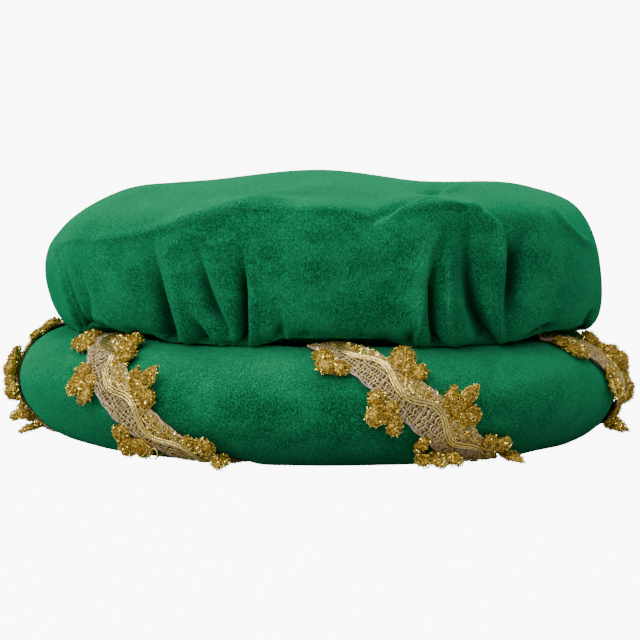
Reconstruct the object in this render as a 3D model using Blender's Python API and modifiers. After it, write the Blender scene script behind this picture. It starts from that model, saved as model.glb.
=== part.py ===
"""Renaissance hat of velvet, with a stuffed roll brim, a puffed crown gathered into it, and a
metallic flower braid wound round the roll.

Metres, +Z up. The front faces -Y and the ground under the middle of the hat is the origin.
A direction is an angle round the hat in degrees: 0 at the front, growing towards +X. A section
angle goes round the roll's section: 0 at the outermost point, 90 on the crest, -90 underneath.
"""

import math

import bmesh
import bpy
import numpy as np
from mathutils import Vector

# Roll brim: a stuffed ring of velvet
HEAD_OPENING_RADIUS = 0.0935
ROLL_WIDTH = 0.063
ROLL_HEIGHT = 0.052
ROLL_PRESSED = 0.0015
ROLL_STEPS_ROUND = 60
ROLL_STEPS_SECTION = 16

# Crown: one puffed sheet of velvet, gathered into the top of the roll
CROWN_OVERHANG = 0.021
CROWN_RISE = 0.082
CLOTH = 0.002
CROWN_GAP = 0.0005
FOLD_DEPTH = 0.012
FOLD_AT_FOOT = 0.25
FOLD_GROWTH = 2.5
CROWN_STEPS_ROUND = 78
HEM_ANGLE = 122.0
NECK_ANGLE = 92.0
FOOT_ANGLE = 79.5

# Braid: a woven metallic band with flower motifs on both edges, wound round the roll
BRAID_WIDTH = 0.018
BRAID_THICKNESS = 0.0016
BRAID_GAP = 0.0006
BRAID_STEPS = 21
GROUND_GAP = 0.0002
GROOVE_CLEARANCE = 0.0004
GROOVE_HALF_ANGLE = 50.0
MOTIF_ROOT = 0.2
MOTIF_LENGTH = 0.021
MOTIF_REACH = 0.0125
MOTIF_THICKNESS = 0.0018
MOTIF_RISE = 0.00035
MOTIF_LIFT = 0.14
LOW_MOTIF_ANGLE = -42.0
PRESSED_MOTIF_ANGLE = 35.0
LOW_MOTIF_SLOPE = 0.2
LOW_MOTIF_ROOT = 0.4
CROWN_OVER_BRAID = 0.0015
BRAID_RISE_GROWTH = 2.5

RING_RADIUS = HEAD_OPENING_RADIUS + ROLL_WIDTH / 2
RING_HEIGHT = ROLL_HEIGHT / 2 - ROLL_PRESSED
CREST_HEIGHT = RING_HEIGHT + ROLL_HEIGHT / 2
CROWN_RADIUS = RING_RADIUS + CROWN_OVERHANG

# Wraps: the direction in which each one crosses the roll's outermost line
WRAP_DIRECTIONS = (-83.0, -33.3, 17.0, 71.0, 122.5, 174.0, 225.5)
WRAP_PITCH = 360.0 / len(WRAP_DIRECTIONS)

# How a wrap leans as it goes round the section. section_angle, lean (share of the wrap pitch)
WRAP_LEAN = (
    (-215.0, 0.565),
    (-90.0, 0.330),
    (0.0, 0.0),
    (87.0, -0.315),
)

# Motifs along a wrap: section_angle of the band's middle, side of the band (1 is uphill)
MOTIFS = ((76.0, -1), (30.0, 1), (24.0, -1), (-11.0, 1), (-20.0, -1), (-37.0, 1), (-44.0, -1))

# Motif outline, from the band's edge outwards, its first and last points rooted in the band.
# along (share of length), out (share of reach)
MOTIF_OUTLINE = (
    (-0.28, 0.00),
    (-0.50, 0.12),
    (-0.47, 0.50),
    (-0.20, 0.46),
    (-0.17, 0.86),
    (0.03, 1.00),
    (0.20, 0.84),
    (0.20, 0.44),
    (0.47, 0.52),
    (0.50, 0.14),
    (0.28, 0.00),
)

# Crown by direction. Radii are shares of CROWN_RADIUS, heights shares of CROWN_RISE over the crest.
# direction, skirt_radius, belly_radius, belly_height, ridge_radius, ridge_height, cap_height
CROWN_SHAPE = (
    (-180.0, 0.920, 0.970, 0.42, 0.935, 0.64, 0.85),
    (-135.0, 0.915, 0.970, 0.44, 0.935, 0.60, 0.85),
    (-90.0, 0.905, 0.978, 0.47, 0.936, 0.57, 0.85),
    (-60.0, 0.910, 0.968, 0.43, 0.938, 0.57, 0.81),
    (-33.0, 0.920, 0.966, 0.40, 0.945, 0.60, 0.80),
    (-15.0, 0.915, 0.959, 0.36, 0.925, 0.73, 0.81),
    (0.0, 0.915, 0.952, 0.36, 0.910, 0.73, 0.81),
    (10.0, 0.915, 0.952, 0.36, 0.912, 0.69, 0.80),
    (22.0, 0.918, 0.960, 0.36, 0.920, 0.77, 0.83),
    (33.0, 0.925, 0.972, 0.38, 0.940, 0.71, 0.84),
    (45.0, 0.950, 0.990, 0.40, 0.952, 0.70, 0.86),
    (65.0, 0.985, 1.010, 0.38, 0.962, 0.67, 0.89),
    (90.0, 0.980, 1.014, 0.36, 0.955, 0.66, 0.89),
    (135.0, 0.940, 0.985, 0.42, 0.950, 0.65, 0.86),
)
SKIRT_HEIGHT = 0.0029
CAP_RADIUS = 0.1073
INNER_CAP_RADIUS = 0.057
INNER_CAP_HEIGHT = 0.0758

# Hem of the crown, from inside the hat to its foot. section_angle, share of the rise over the braid
CROWN_HEM = (
    (HEM_ANGLE, 0.0),
    ((HEM_ANGLE + NECK_ANGLE) / 2, 0.3),
    (NECK_ANGLE, 0.9),
    (FOOT_ANGLE, 1.0),
)

# Main folds of the crown's side. direction at the foot, half_width and lean in degrees, depth
# (share of FOLD_DEPTH), top (share of the way from the foot to the ridge)
CROWN_FOLDS = (
    (-38.0, 6.0, 0.0, 0.55, 0.35),
    (-28.6, 5.5, -5.0, 0.60, 0.95),
    (-17.0, 5.0, -8.0, 0.75, 0.85),
    (18.7, 4.5, 6.0, 0.80, 0.98),
    (26.0, 4.5, -2.0, 0.55, 0.80),
    (35.5, 5.0, -4.0, 1.00, 0.75),
    (48.0, 6.5, 0.0, 0.50, 0.35),
    (62.0, 5.0, 3.0, 0.45, 0.60),
    (80.0, 6.0, 0.0, 0.50, 0.70),
    (97.0, 5.5, -4.0, 0.70, 0.85),
    (112.0, 5.0, 3.0, 0.55, 0.75),
    (128.0, 6.0, -3.0, 0.80, 0.90),
    (146.0, 5.5, 5.0, 0.60, 0.80),
    (163.0, 5.0, -2.0, 0.85, 0.95),
    (181.0, 6.0, 4.0, 0.55, 0.70),
    (199.0, 5.0, -5.0, 0.80, 0.90),
    (215.0, 5.5, 2.0, 0.60, 0.85),
    (233.0, 5.0, -3.0, 0.75, 0.80),
    (250.0, 6.0, 3.0, 0.55, 0.90),
    (268.0, 5.0, 0.0, 0.65, 0.85),
    (284.0, 5.0, 4.0, 0.60, 0.80),
    (300.0, 5.0, -2.0, 0.45, 0.70),
    (312.0, 5.0, -3.0, 0.40, 0.85),
)

# Places along the crown's profile, from the hem over the foot, skirt and ridge to the middle
FOOT_ROW = 3
SKIRT_ROW = 4
RIDGE_ROW = 6

# Rows of the crown from the hem to the last ring before its middle, as places along its profile
CROWN_ROWS = (0.0, 1.0, 2.0, 3.0, 4.0, 4.5, 5.0, 5.5, 6.0, 6.5, 7.0, 8.0, 8.55)


def smooth_through(knots, values, at):
    """The value at a place on a smooth curve through values at knots, with no overshoot."""
    i = int(np.clip(np.searchsorted(knots, at, side="right") - 1, 0, len(knots) - 2))
    slopes = np.diff(values) / np.diff(knots)

    def tangent(j):
        if j in (0, len(knots) - 1):
            return slopes[min(j, len(slopes) - 1)]
        before, after = slopes[j - 1], slopes[j]
        return 0.0 if before * after <= 0 else 2 * before * after / (before + after)

    width = knots[i + 1] - knots[i]
    t = (at - knots[i]) / width
    return (
        (1 + 2 * t) * (1 - t) ** 2 * values[i]
        + t * (1 - t) ** 2 * width * tangent(i)
        + t * t * (3 - 2 * t) * values[i + 1]
        + t * t * (t - 1) * width * tangent(i + 1)
    )


def turn_between(a, b):
    """The turn from direction b to direction a, from -180 to 180."""
    return (a - b + 180.0) % 360.0 - 180.0


def bump(distance, half_width):
    """1 in the middle, falling smoothly to 0 at half_width."""
    t = min(1.0, abs(distance) / half_width)
    return (1 - t * t) ** 2


def around(direction, radius, height):
    """The point in that direction, at that distance from the middle and that height."""
    turn = math.radians(direction)
    return Vector((radius * math.sin(turn), -radius * math.cos(turn), height))


def roll_frame(direction, section_angle, offset=0.0):
    """(point, outward normal) on the roll's unpressed surface, offset metres out from it."""
    a, b = ROLL_WIDTH / 2, ROLL_HEIGHT / 2
    angle = math.radians(section_angle)
    c, s = math.cos(angle), math.sin(angle)
    length = math.hypot(c / a, s / b)
    nr, nz = c / a / length, s / b / length
    normal = around(direction, nr, nz)
    point = around(direction, RING_RADIUS + a * c + offset * nr, RING_HEIGHT + b * s + offset * nz)
    return point, normal


def wrap_direction(wrap, section_angle):
    """Direction of the middle of a wrap at a section angle."""
    angles = [row[0] for row in WRAP_LEAN]
    leans = [row[1] * WRAP_PITCH for row in WRAP_LEAN]
    return WRAP_DIRECTIONS[wrap] + smooth_through(angles, leans, section_angle)


def surface_steps(section_angle):
    """Metres for each degree of direction and of section angle on the roll's surface."""
    a, b = ROLL_WIDTH / 2, ROLL_HEIGHT / 2
    angle = math.radians(section_angle)
    along_ring = math.radians(RING_RADIUS + a * math.cos(angle))
    along_section = math.radians(math.hypot(a * math.sin(angle), b * math.cos(angle)))
    return along_ring, along_section


def braid_place(wrap, section_angle, across):
    """(direction, section angle) of a place across metres to the side of a wrap's middle."""
    step = 0.5
    lean = wrap_direction(wrap, section_angle + step) - wrap_direction(wrap, section_angle - step)
    ring, section = surface_steps(section_angle)
    along = Vector((lean / (2 * step) * ring, section)).normalized()
    direction = wrap_direction(wrap, section_angle) + across * along.y / ring
    return direction, section_angle - across * along.x / section


def strip(wrap, angles, half_width, inner_offset, outer_offset):
    """Closed strip lying over the roll along a wrap, raised where its braid would meet the ground."""
    mesh = bmesh.new()
    rings = []
    for angle in angles:
        inner_row, outer_row = [], []
        for across in (-half_width, 0.0, half_width):
            place = braid_place(wrap, angle, across)
            lowest = roll_frame(*place, BRAID_GAP + BRAID_THICKNESS)[0].z
            rise = Vector((0, 0, max(0.0, GROUND_GAP - lowest)))
            inner_row.append(mesh.verts.new(roll_frame(*place, inner_offset)[0] + rise))
            outer_row.append(mesh.verts.new(roll_frame(*place, outer_offset)[0] + rise))
        rings.append(inner_row + outer_row[::-1])
    last = len(rings[0]) - 1
    for low, high in zip(rings, rings[1:]):
        for i in range(last + 1):
            j = (i + 1) % (last + 1)
            corners = (low[i], low[j], high[j], high[i])
            first = 0 if i > last // 2 else 1
            a, b, c, d = corners[first:] + corners[:first]
            mesh.faces.new((a, b, c))
            mesh.faces.new((a, c, d))
    mesh.faces.new(rings[0][::-1])
    mesh.faces.new(rings[-1])
    bmesh.ops.recalc_face_normals(mesh, faces=mesh.faces)
    return mesh


def wrap_stations(wrap):
    """Section angles evenly spaced along a wrap, from its end inside the hat to its upper end."""
    fine = np.linspace(WRAP_LEAN[0][0], WRAP_LEAN[-1][0], 400)
    points = [roll_frame(wrap_direction(wrap, angle), angle)[0] for angle in fine]
    along = np.cumsum([0.0] + [(b - a).length for a, b in zip(points, points[1:])])
    return [float(angle) for angle in np.interp(np.linspace(0.0, along[-1], BRAID_STEPS), along, fine)]


def motif(mesh, wrap, section_angle, side):
    """Adds one flower motif to the mesh: tangent to the roll, or flat on the ground where low."""
    edge = side * BRAID_WIDTH / 2
    place = braid_place(wrap, section_angle, edge)
    base, normal = roll_frame(*place)
    rise, root, pressed = BRAID_GAP + MOTIF_RISE + MOTIF_THICKNESS / 2, MOTIF_ROOT, 0.0
    ahead = roll_frame(*braid_place(wrap, section_angle + 1.0, edge))[0] - base
    along = ahead.normalized()
    outward = side * along.cross(normal).normalized()
    slope = MOTIF_LIFT
    if place[1] < LOW_MOTIF_ANGLE:
        base += normal * rise
        normal = Vector((0, 0, 1))
        outward = Vector((base.x, base.y, 0)).normalized()
        along = normal.cross(outward)
        rise, slope, root = 0.0, -LOW_MOTIF_SLOPE, MOTIF_ROOT * LOW_MOTIF_ROOT
    elif place[1] > PRESSED_MOTIF_ANGLE:
        pressed = min(1.0, (place[1] - PRESSED_MOTIF_ANGLE) / (NECK_ANGLE - PRESSED_MOTIF_ANGLE) * 2)
    lower, upper = [], []
    for along_share, out_share in MOTIF_OUTLINE:
        out = (out_share if out_share > 0 else -root) * MOTIF_REACH
        middle = base + along * along_share * MOTIF_LENGTH + outward * out
        middle += normal * (rise + slope * max(0.0, out))
        on_roll = section_angle + along_share * MOTIF_LENGTH / ahead.length
        middle = middle.lerp(
            roll_frame(*braid_place(wrap, on_roll, edge + side * out), rise)[0], pressed
        )
        inner = middle - normal * MOTIF_THICKNESS / 2
        outer = middle + normal * MOTIF_THICKNESS / 2
        off_ground = Vector((0, 0, max(0.0, GROUND_GAP - min(inner.z, outer.z))))
        lower.append(mesh.verts.new(inner + off_ground))
        upper.append(mesh.verts.new(outer + off_ground))
    faces = [mesh.faces.new(lower), mesh.faces.new(upper[::-1])]
    for i in range(len(lower)):
        j = (i + 1) % len(lower)
        faces.append(mesh.faces.new((lower[j], lower[i], upper[i], upper[j])))
    bmesh.ops.recalc_face_normals(mesh, faces=faces)
    bmesh.ops.triangulate(mesh, faces=faces)


def crown_shape(direction):
    """The crown's measures in a direction, as in the columns of CROWN_SHAPE after the first."""
    rows = CROWN_SHAPE[-1:] + CROWN_SHAPE + CROWN_SHAPE[:2]
    knots = [row[0] for row in rows]
    knots[0] -= 360.0
    knots[-2] += 360.0
    knots[-1] += 360.0
    at = turn_between(direction, 0.0)
    return [
        smooth_through(knots, [row[column] for row in rows], at)
        for column in range(1, len(CROWN_SHAPE[0]))
    ]


def braid_rise(direction):
    """How far the crown's foot rides up over the upper ends of the wraps and their motifs."""
    end = WRAP_LEAN[-1][0]
    half_width = (BRAID_WIDTH + MOTIF_REACH + MOTIF_LENGTH / 4) / surface_steps(end)[0]
    near = max(
        bump(turn_between(direction, wrap_direction(wrap, MOTIFS[0][0])), half_width)
        for wrap in range(len(WRAP_DIRECTIONS))
    )
    full = BRAID_GAP + BRAID_THICKNESS + MOTIF_RISE + CROWN_OVER_BRAID
    return full * min(1.0, BRAID_RISE_GROWTH * near)


def crown_profile(direction):
    """(radii, heights) of the crown's section in a direction, from the hem to the middle."""
    skirt, belly, belly_height, ridge, ridge_height, cap_height = crown_shape(direction)
    rise = braid_rise(direction)
    radii, heights = [], []
    for angle, share in CROWN_HEM:
        point = roll_frame(0.0, angle, CROWN_GAP + share * rise)[0]
        radii.append(-point.y)
        heights.append(point.z)
    radii.append(skirt * CROWN_RADIUS)
    heights.append(heights[-1] + SKIRT_HEIGHT)
    for radius, height in (
        (belly * CROWN_RADIUS, belly_height * CROWN_RISE),
        (ridge * CROWN_RADIUS, ridge_height * CROWN_RISE),
        (CAP_RADIUS, cap_height * CROWN_RISE),
        (INNER_CAP_RADIUS, INNER_CAP_HEIGHT),
        (0.0, CROWN_RISE),
        (-INNER_CAP_RADIUS, INNER_CAP_HEIGHT),
    ):
        radii.append(radius)
        heights.append(CREST_HEIGHT + height)
    return radii, heights


def fold_depth(direction, row):
    """How far the folds push the crown in, at a direction and a place along its profile."""
    up = (row - FOOT_ROW) / (RIDGE_ROW - FOOT_ROW)
    if up < 0:
        return 0.0
    depth = 0.0
    for at, half_width, lean, share, top in CROWN_FOLDS:
        fade = max(0.0, 1 - up / top) if up < top else 0.0
        shape = bump(turn_between(direction, at + lean * up), half_width)
        depth += FOLD_DEPTH * share * shape * math.sqrt(fade)
    return depth * min(1.0, FOLD_AT_FOOT + FOLD_GROWTH * up)


def along_profile(values, row):
    """A crown measure at a place along its profile: straight up to the skirt, then curved."""
    i = int(row)
    t = row - i
    a, b = values[i], values[i + 1]
    if i < SKIRT_ROW:
        return a + (b - a) * t
    start, end = (b - values[i - 1]) / 2, (values[i + 2] - a) / 2
    return (
        (1 + 2 * t) * (1 - t) ** 2 * a
        + t * (1 - t) ** 2 * start
        + t * t * (3 - 2 * t) * b
        + t * t * (t - 1) * end
    )


def crown_point(direction, row):
    """Point of the crown's outer face in a direction, at a place along its profile."""
    radii, heights = crown_profile(direction)
    radius = along_profile(radii, row) - fold_depth(direction, row)
    return around(direction, radius, along_profile(heights, row))


def finish(name, mesh, collection, material, smooth_angle=50.0):
    """An object of that name made from the mesh, in the collection and of the material."""
    data = bpy.data.meshes.new(name)
    mesh.to_mesh(data)
    mesh.free()
    obj = bpy.data.objects.new(name, data)
    collection.objects.link(obj)
    if material:
        data.materials.append(material)
        data.shade_smooth()
        data.set_sharp_from_angle(angle=math.radians(smooth_angle))
    return obj


def as_tool(obj):
    """The object, set up as a helper that only Booleans use."""
    obj.hide_render = True
    obj.display_type = "WIRE"
    return obj


def boolean(obj, name, operation, tool):
    """Adds an exact Boolean with the tool object."""
    modifier = obj.modifiers.new(name, "BOOLEAN")
    modifier.operation = operation
    modifier.solver = "EXACT"
    modifier.object = tool


def principled(name, color, roughness, metallic, sheen=0.0):
    """A plain material of that colour."""
    material = bpy.data.materials.new(name)
    material.use_nodes = True
    shader = material.node_tree.nodes["Principled BSDF"]
    shader.inputs["Base Color"].default_value = (*color, 1.0)
    shader.inputs["Roughness"].default_value = roughness
    shader.inputs["Metallic"].default_value = metallic
    shader.inputs["Sheen Weight"].default_value = sheen
    return material


def build_roll(parts, tools, velvet):
    """The roll: its section turned about the hat's axis, pressed flat and grooved underneath."""
    flat_angle = math.degrees(math.asin(RING_HEIGHT / (ROLL_HEIGHT / 2)))
    section = bmesh.new()
    angles = np.linspace(180 + flat_angle, -flat_angle, ROLL_STEPS_SECTION + 1)
    points = [roll_frame(90.0, angle)[0] for angle in angles]
    verts = [section.verts.new((point.x, 0.0, max(0.0, point.z))) for point in points]
    for a, b in zip(verts, verts[1:] + verts[:1]):
        section.edges.new((a, b))
    roll = finish("roll", section, parts, velvet)
    screw = roll.modifiers.new("turned", "SCREW")
    screw.steps = ROLL_STEPS_ROUND
    screw.render_steps = ROLL_STEPS_ROUND
    screw.use_merge_vertices = True
    screw.merge_threshold = 0.0001
    for wrap in range(len(WRAP_DIRECTIONS)):
        groove = strip(
            wrap,
            [angle for angle in wrap_stations(wrap) if abs(angle + 90) < GROOVE_HALF_ANGLE],
            BRAID_WIDTH / 2 + GROOVE_CLEARANCE,
            BRAID_GAP - GROOVE_CLEARANCE,
            BRAID_GAP + 3 * BRAID_THICKNESS,
        )
        tool = as_tool(finish(f"braid_groove_{wrap + 1}", groove, tools, None))
        boolean(roll, tool.name, "DIFFERENCE", tool)


def build_crown(parts, velvet):
    """The crown: an open gathered shell of cloth, closed over the top."""
    mesh = bmesh.new()
    directions = [360.0 * i / CROWN_STEPS_ROUND for i in range(CROWN_STEPS_ROUND)]
    rings = [
        [mesh.verts.new(crown_point(direction, row)) for direction in directions]
        for row in CROWN_ROWS
    ]
    for low, high in zip(rings, rings[1:]):
        for i in range(CROWN_STEPS_ROUND):
            j = (i + 1) % CROWN_STEPS_ROUND
            mesh.faces.new((low[i], low[j], high[j], high[i]))
    peak = mesh.verts.new((0.0, 0.0, CREST_HEIGHT + CROWN_RISE))
    for i in range(CROWN_STEPS_ROUND):
        mesh.faces.new((rings[-1][i], rings[-1][(i + 1) % CROWN_STEPS_ROUND], peak))
    crown = finish("crown", mesh, parts, velvet)
    wall = crown.modifiers.new("cloth", "SOLIDIFY")
    wall.thickness = CLOTH
    wall.offset = -1.0


def build_wrap(wrap, parts, tools, gold):
    """One wrap of braid: its woven band with flower motifs fused to both edges."""
    band = strip(
        wrap,
        wrap_stations(wrap),
        BRAID_WIDTH / 2,
        BRAID_GAP,
        BRAID_GAP + BRAID_THICKNESS,
    )
    braid = finish(f"braid_wrap_{wrap + 1}", band, parts, gold)
    flowers = bmesh.new()
    for angle, side in MOTIFS:
        motif(flowers, wrap, angle, side)
    tool = as_tool(finish(f"motifs_{wrap + 1}", flowers, tools, None))
    boolean(braid, "motifs", "UNION", tool)


def main():
    """Builds the whole hat."""
    for obj in list(bpy.data.objects):
        bpy.data.objects.remove(obj, do_unlink=True)
    parts = bpy.data.collections.new("renaissance_hat")
    tools = bpy.data.collections.new("tools")
    bpy.context.scene.collection.children.link(parts)
    bpy.context.scene.collection.children.link(tools)
    velvet = principled("green_velvet", (0.008, 0.16, 0.062), 0.85, 0.0, 0.6)
    gold = principled("gold_braid", (0.62, 0.40, 0.09), 0.35, 0.75)
    build_roll(parts, tools, velvet)
    build_crown(parts, velvet)
    for wrap in range(len(WRAP_DIRECTIONS)):
        build_wrap(wrap, parts, tools, gold)


main()
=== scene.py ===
"""Looks of a renaissance hat: a stuffed velvet roll, a gathered velvet crown and a gold flower braid.

Metres, +Z up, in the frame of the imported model: the front faces -Y and the ground under the middle
of the hat is the origin. A direction is an angle round the hat in degrees, 0 at the front and
growing towards +X. A section angle goes round the roll's section, 0 at its outermost point, 90 on
its crest and -90 underneath. A row is a place along the crown's profile, from its hem to its middle.
"""

import logging
import math
from dataclasses import dataclass, field
from enum import Enum

import bpy
import numpy as np
from mathutils import Matrix, Vector


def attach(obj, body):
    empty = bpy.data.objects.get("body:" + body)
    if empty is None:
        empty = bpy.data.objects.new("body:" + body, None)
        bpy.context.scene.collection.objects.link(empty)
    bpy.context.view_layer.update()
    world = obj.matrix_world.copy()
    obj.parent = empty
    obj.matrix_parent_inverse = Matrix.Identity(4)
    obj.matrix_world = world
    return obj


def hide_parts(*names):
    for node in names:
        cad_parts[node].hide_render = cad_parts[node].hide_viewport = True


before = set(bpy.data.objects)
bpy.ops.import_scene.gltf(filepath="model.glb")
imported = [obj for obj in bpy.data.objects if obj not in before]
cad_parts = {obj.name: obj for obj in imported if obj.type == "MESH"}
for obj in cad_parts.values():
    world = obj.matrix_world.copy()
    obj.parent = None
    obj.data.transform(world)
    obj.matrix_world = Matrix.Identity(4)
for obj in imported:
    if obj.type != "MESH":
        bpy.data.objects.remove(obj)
log = logging.getLogger("renaissance_hat")

Array = np.ndarray
Color = tuple[float, float, float]
Object = bpy.types.Object
Socket = bpy.types.NodeSocket
Material = bpy.types.Material
BODY = "root"
MM = 0.001
GROUND = 0.0002
# Rows of the crown's profile: where it leaves the roll, its ridge, and where its broad waves end
FOOT_ROW, RIDGE_ROW, CALM_ROW = 3.0, 6.0, 8.5


# Curves and meshes


def around(direction: Array, radius: Array, height: Array) -> Array:
    """Points in directions round the hat.

    Args:
        direction: angles round the hat in degrees.
        radius: distances from the middle, in metres.
        height: heights, in metres.

    Returns:
        Points, with x, y and z along the last axis.
    """
    turn = np.radians(direction)
    x, y, z = np.broadcast_arrays(radius * np.sin(turn), -radius * np.cos(turn), height)
    return np.stack([x, y, z], axis=-1)


def cubic(t: Array, start: Array, end: Array, leaving: Array, arriving: Array) -> Array:
    """Runs from start to end as t goes from 0 to 1, with its slopes at the start and the end."""
    back = 1 - t
    return (
        (1 + 2 * t) * back**2 * start
        + t * back**2 * leaving
        + t * t * (3 - 2 * t) * end
        - t * t * back * arriving
    )


def smooth_through(knots: Array, values: Array, at: Array) -> Array:
    """Reads a smooth curve through values at knots, which never overshoots them.

    Args:
        knots: growing places.
        values: the value at each place.
        at: places to read, in any shape.

    Returns:
        The values there, in the shape of at.
    """
    widths = np.diff(knots)
    slopes = np.diff(values) / widths
    before, after = slopes[:-1], slopes[1:]
    rising = before * after > 0
    middle = np.where(rising, 2 * before * after / np.where(rising, before + after, 1.0), 0.0)
    tangents = np.concatenate([slopes[:1], middle, slopes[-1:]])
    i = np.clip(np.searchsorted(knots, at, side="right") - 1, 0, len(knots) - 2)
    t = (at - knots[i]) / widths[i]
    return cubic(t, values[i], values[i + 1], widths[i] * tangents[i], widths[i] * tangents[i + 1])


def turn_between(a: Array, b: Array) -> Array:
    """The turn in degrees from direction b to direction a, from -180 to 180."""
    return (a - b + 180.0) % 360.0 - 180.0


def bump(distance: Array, half_width: float) -> Array:
    """1 in the middle, falling smoothly to 0 at half_width."""
    t = np.clip(np.abs(distance) / half_width, 0.0, 1.0)
    return (1 - t * t) ** 2


def ease(value: Array, low: float, high: float) -> Array:
    """0 up to low and 1 from high on, with a smooth step between them."""
    t = np.clip((value - low) / (high - low), 0.0, 1.0)
    return t * t * (3 - 2 * t)


def waves(at: Array, seed: int, low: int, high: int, count: int) -> Array:
    """A closed random wave round the hat.

    Args:
        at: directions in degrees.
        seed: seed of the random waves.
        low: fewest waves in a turn.
        high: most waves in a turn.
        count: how many waves are added up.

    Returns:
        Values that are mostly between -1 and 1.
    """
    random = np.random.default_rng(seed)
    total = np.zeros_like(at)
    for number in random.integers(low, high + 1, count):
        total = total + np.sin(np.radians(at * number + random.uniform(0, 360)))
    return total / math.sqrt(count)


def unit(vectors: Array) -> Array:
    """The vectors along the last axis, at length 1."""
    return vectors / np.maximum(np.linalg.norm(vectors, axis=-1, keepdims=True), 1e-12)


def grid_faces(rows: int, columns: int, first: int = 0) -> list[tuple[int, int, int, int]]:
    """Faces of a grid of points that closes on itself along its columns.

    Args:
        rows: how many rows of points.
        columns: how many points in each row.
        first: number of the grid's first point.

    Returns:
        Corner numbers of each face, facing out of a form whose rows go up and columns anticlockwise.
    """
    faces = []
    for row in range(rows - 1):
        low, high = first + row * columns, first + (row + 1) * columns
        for i in range(columns):
            j = (i + 1) % columns
            faces.append((low + i, low + j, high + j, high + i))
    return faces


def new_object(name: str, points: Array, faces: list, edges: list | None = None) -> Object:
    """Makes a mesh object from points and faces, or from points and edges, and links it.

    Args:
        name: the object's name.
        points: one point a row.
        faces: corner numbers of each face.
        edges: point numbers of each loose edge.

    Returns:
        The new object.
    """
    mesh = bpy.data.meshes.new(name)
    mesh.from_pydata(points.tolist(), edges or [], faces)
    mesh.update()
    obj = bpy.data.objects.new(name, mesh)
    bpy.context.scene.collection.objects.link(obj)
    return obj


def points_of(mesh: bpy.types.Mesh) -> Array:
    """The mesh's points, one a row."""
    return np.array([v.co[:] for v in mesh.vertices])


def move_points(obj: Object, points: Array) -> None:
    """Moves the points of the object's mesh, one a row."""
    obj.data.vertices.foreach_set("co", points.reshape(-1))
    obj.data.update()


def set_attribute(obj: Object, name: str, values: Array) -> None:
    """Gives each point of the object's mesh its value of a new attribute."""
    attribute = obj.data.attributes.new(name, "FLOAT", "POINT")
    attribute.data.foreach_set("value", values)


def directions_of(points: Array) -> Array:
    """The direction in which each point lies, in degrees."""
    return np.degrees(np.arctan2(points[:, 0], -points[:, 1]))


def evaluated_mesh(obj: Object) -> bpy.types.Mesh:
    """A plain mesh of the object with its modifiers worked in."""
    bpy.context.view_layer.update()
    graph = bpy.context.evaluated_depsgraph_get()
    return bpy.data.meshes.new_from_object(obj.evaluated_get(graph), depsgraph=graph)


def bake_modifiers(obj: Object) -> None:
    """Puts the result of the object's modifiers in its mesh and removes them."""
    mesh = evaluated_mesh(obj)
    obj.modifiers.clear()
    obj.data = mesh


def joined(name: str, objects: list[Object]) -> Object:
    """Joins objects into the first one, which takes the name."""
    target = objects[0]
    with bpy.context.temp_override(active_object=target, selected_editable_objects=objects):
        bpy.ops.object.join()
    target.name = name
    target.data.name = name
    return target


# Nodes


def feed(tree: bpy.types.NodeTree, socket: Socket, value: object) -> None:
    """Feeds an input of a node from another socket, or gives it a value."""
    if isinstance(value, Socket):
        tree.links.new(value, socket)
    else:
        socket.default_value = value


def add_node(tree: bpy.types.NodeTree, kind: str, inputs: dict | None, settings: dict) -> bpy.types.Node:
    """Adds a node to a tree.

    Args:
        tree: the tree.
        kind: the node's type.
        inputs: for each input's name or number, the socket that feeds it or the value it takes.
        settings: the node's own properties.

    Returns:
        The new node.
    """
    made = tree.nodes.new(kind)
    for name, value in settings.items():
        setattr(made, name, value)
    for name, value in (inputs or {}).items():
        feed(tree, made.inputs[name], value)
    return made


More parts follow.
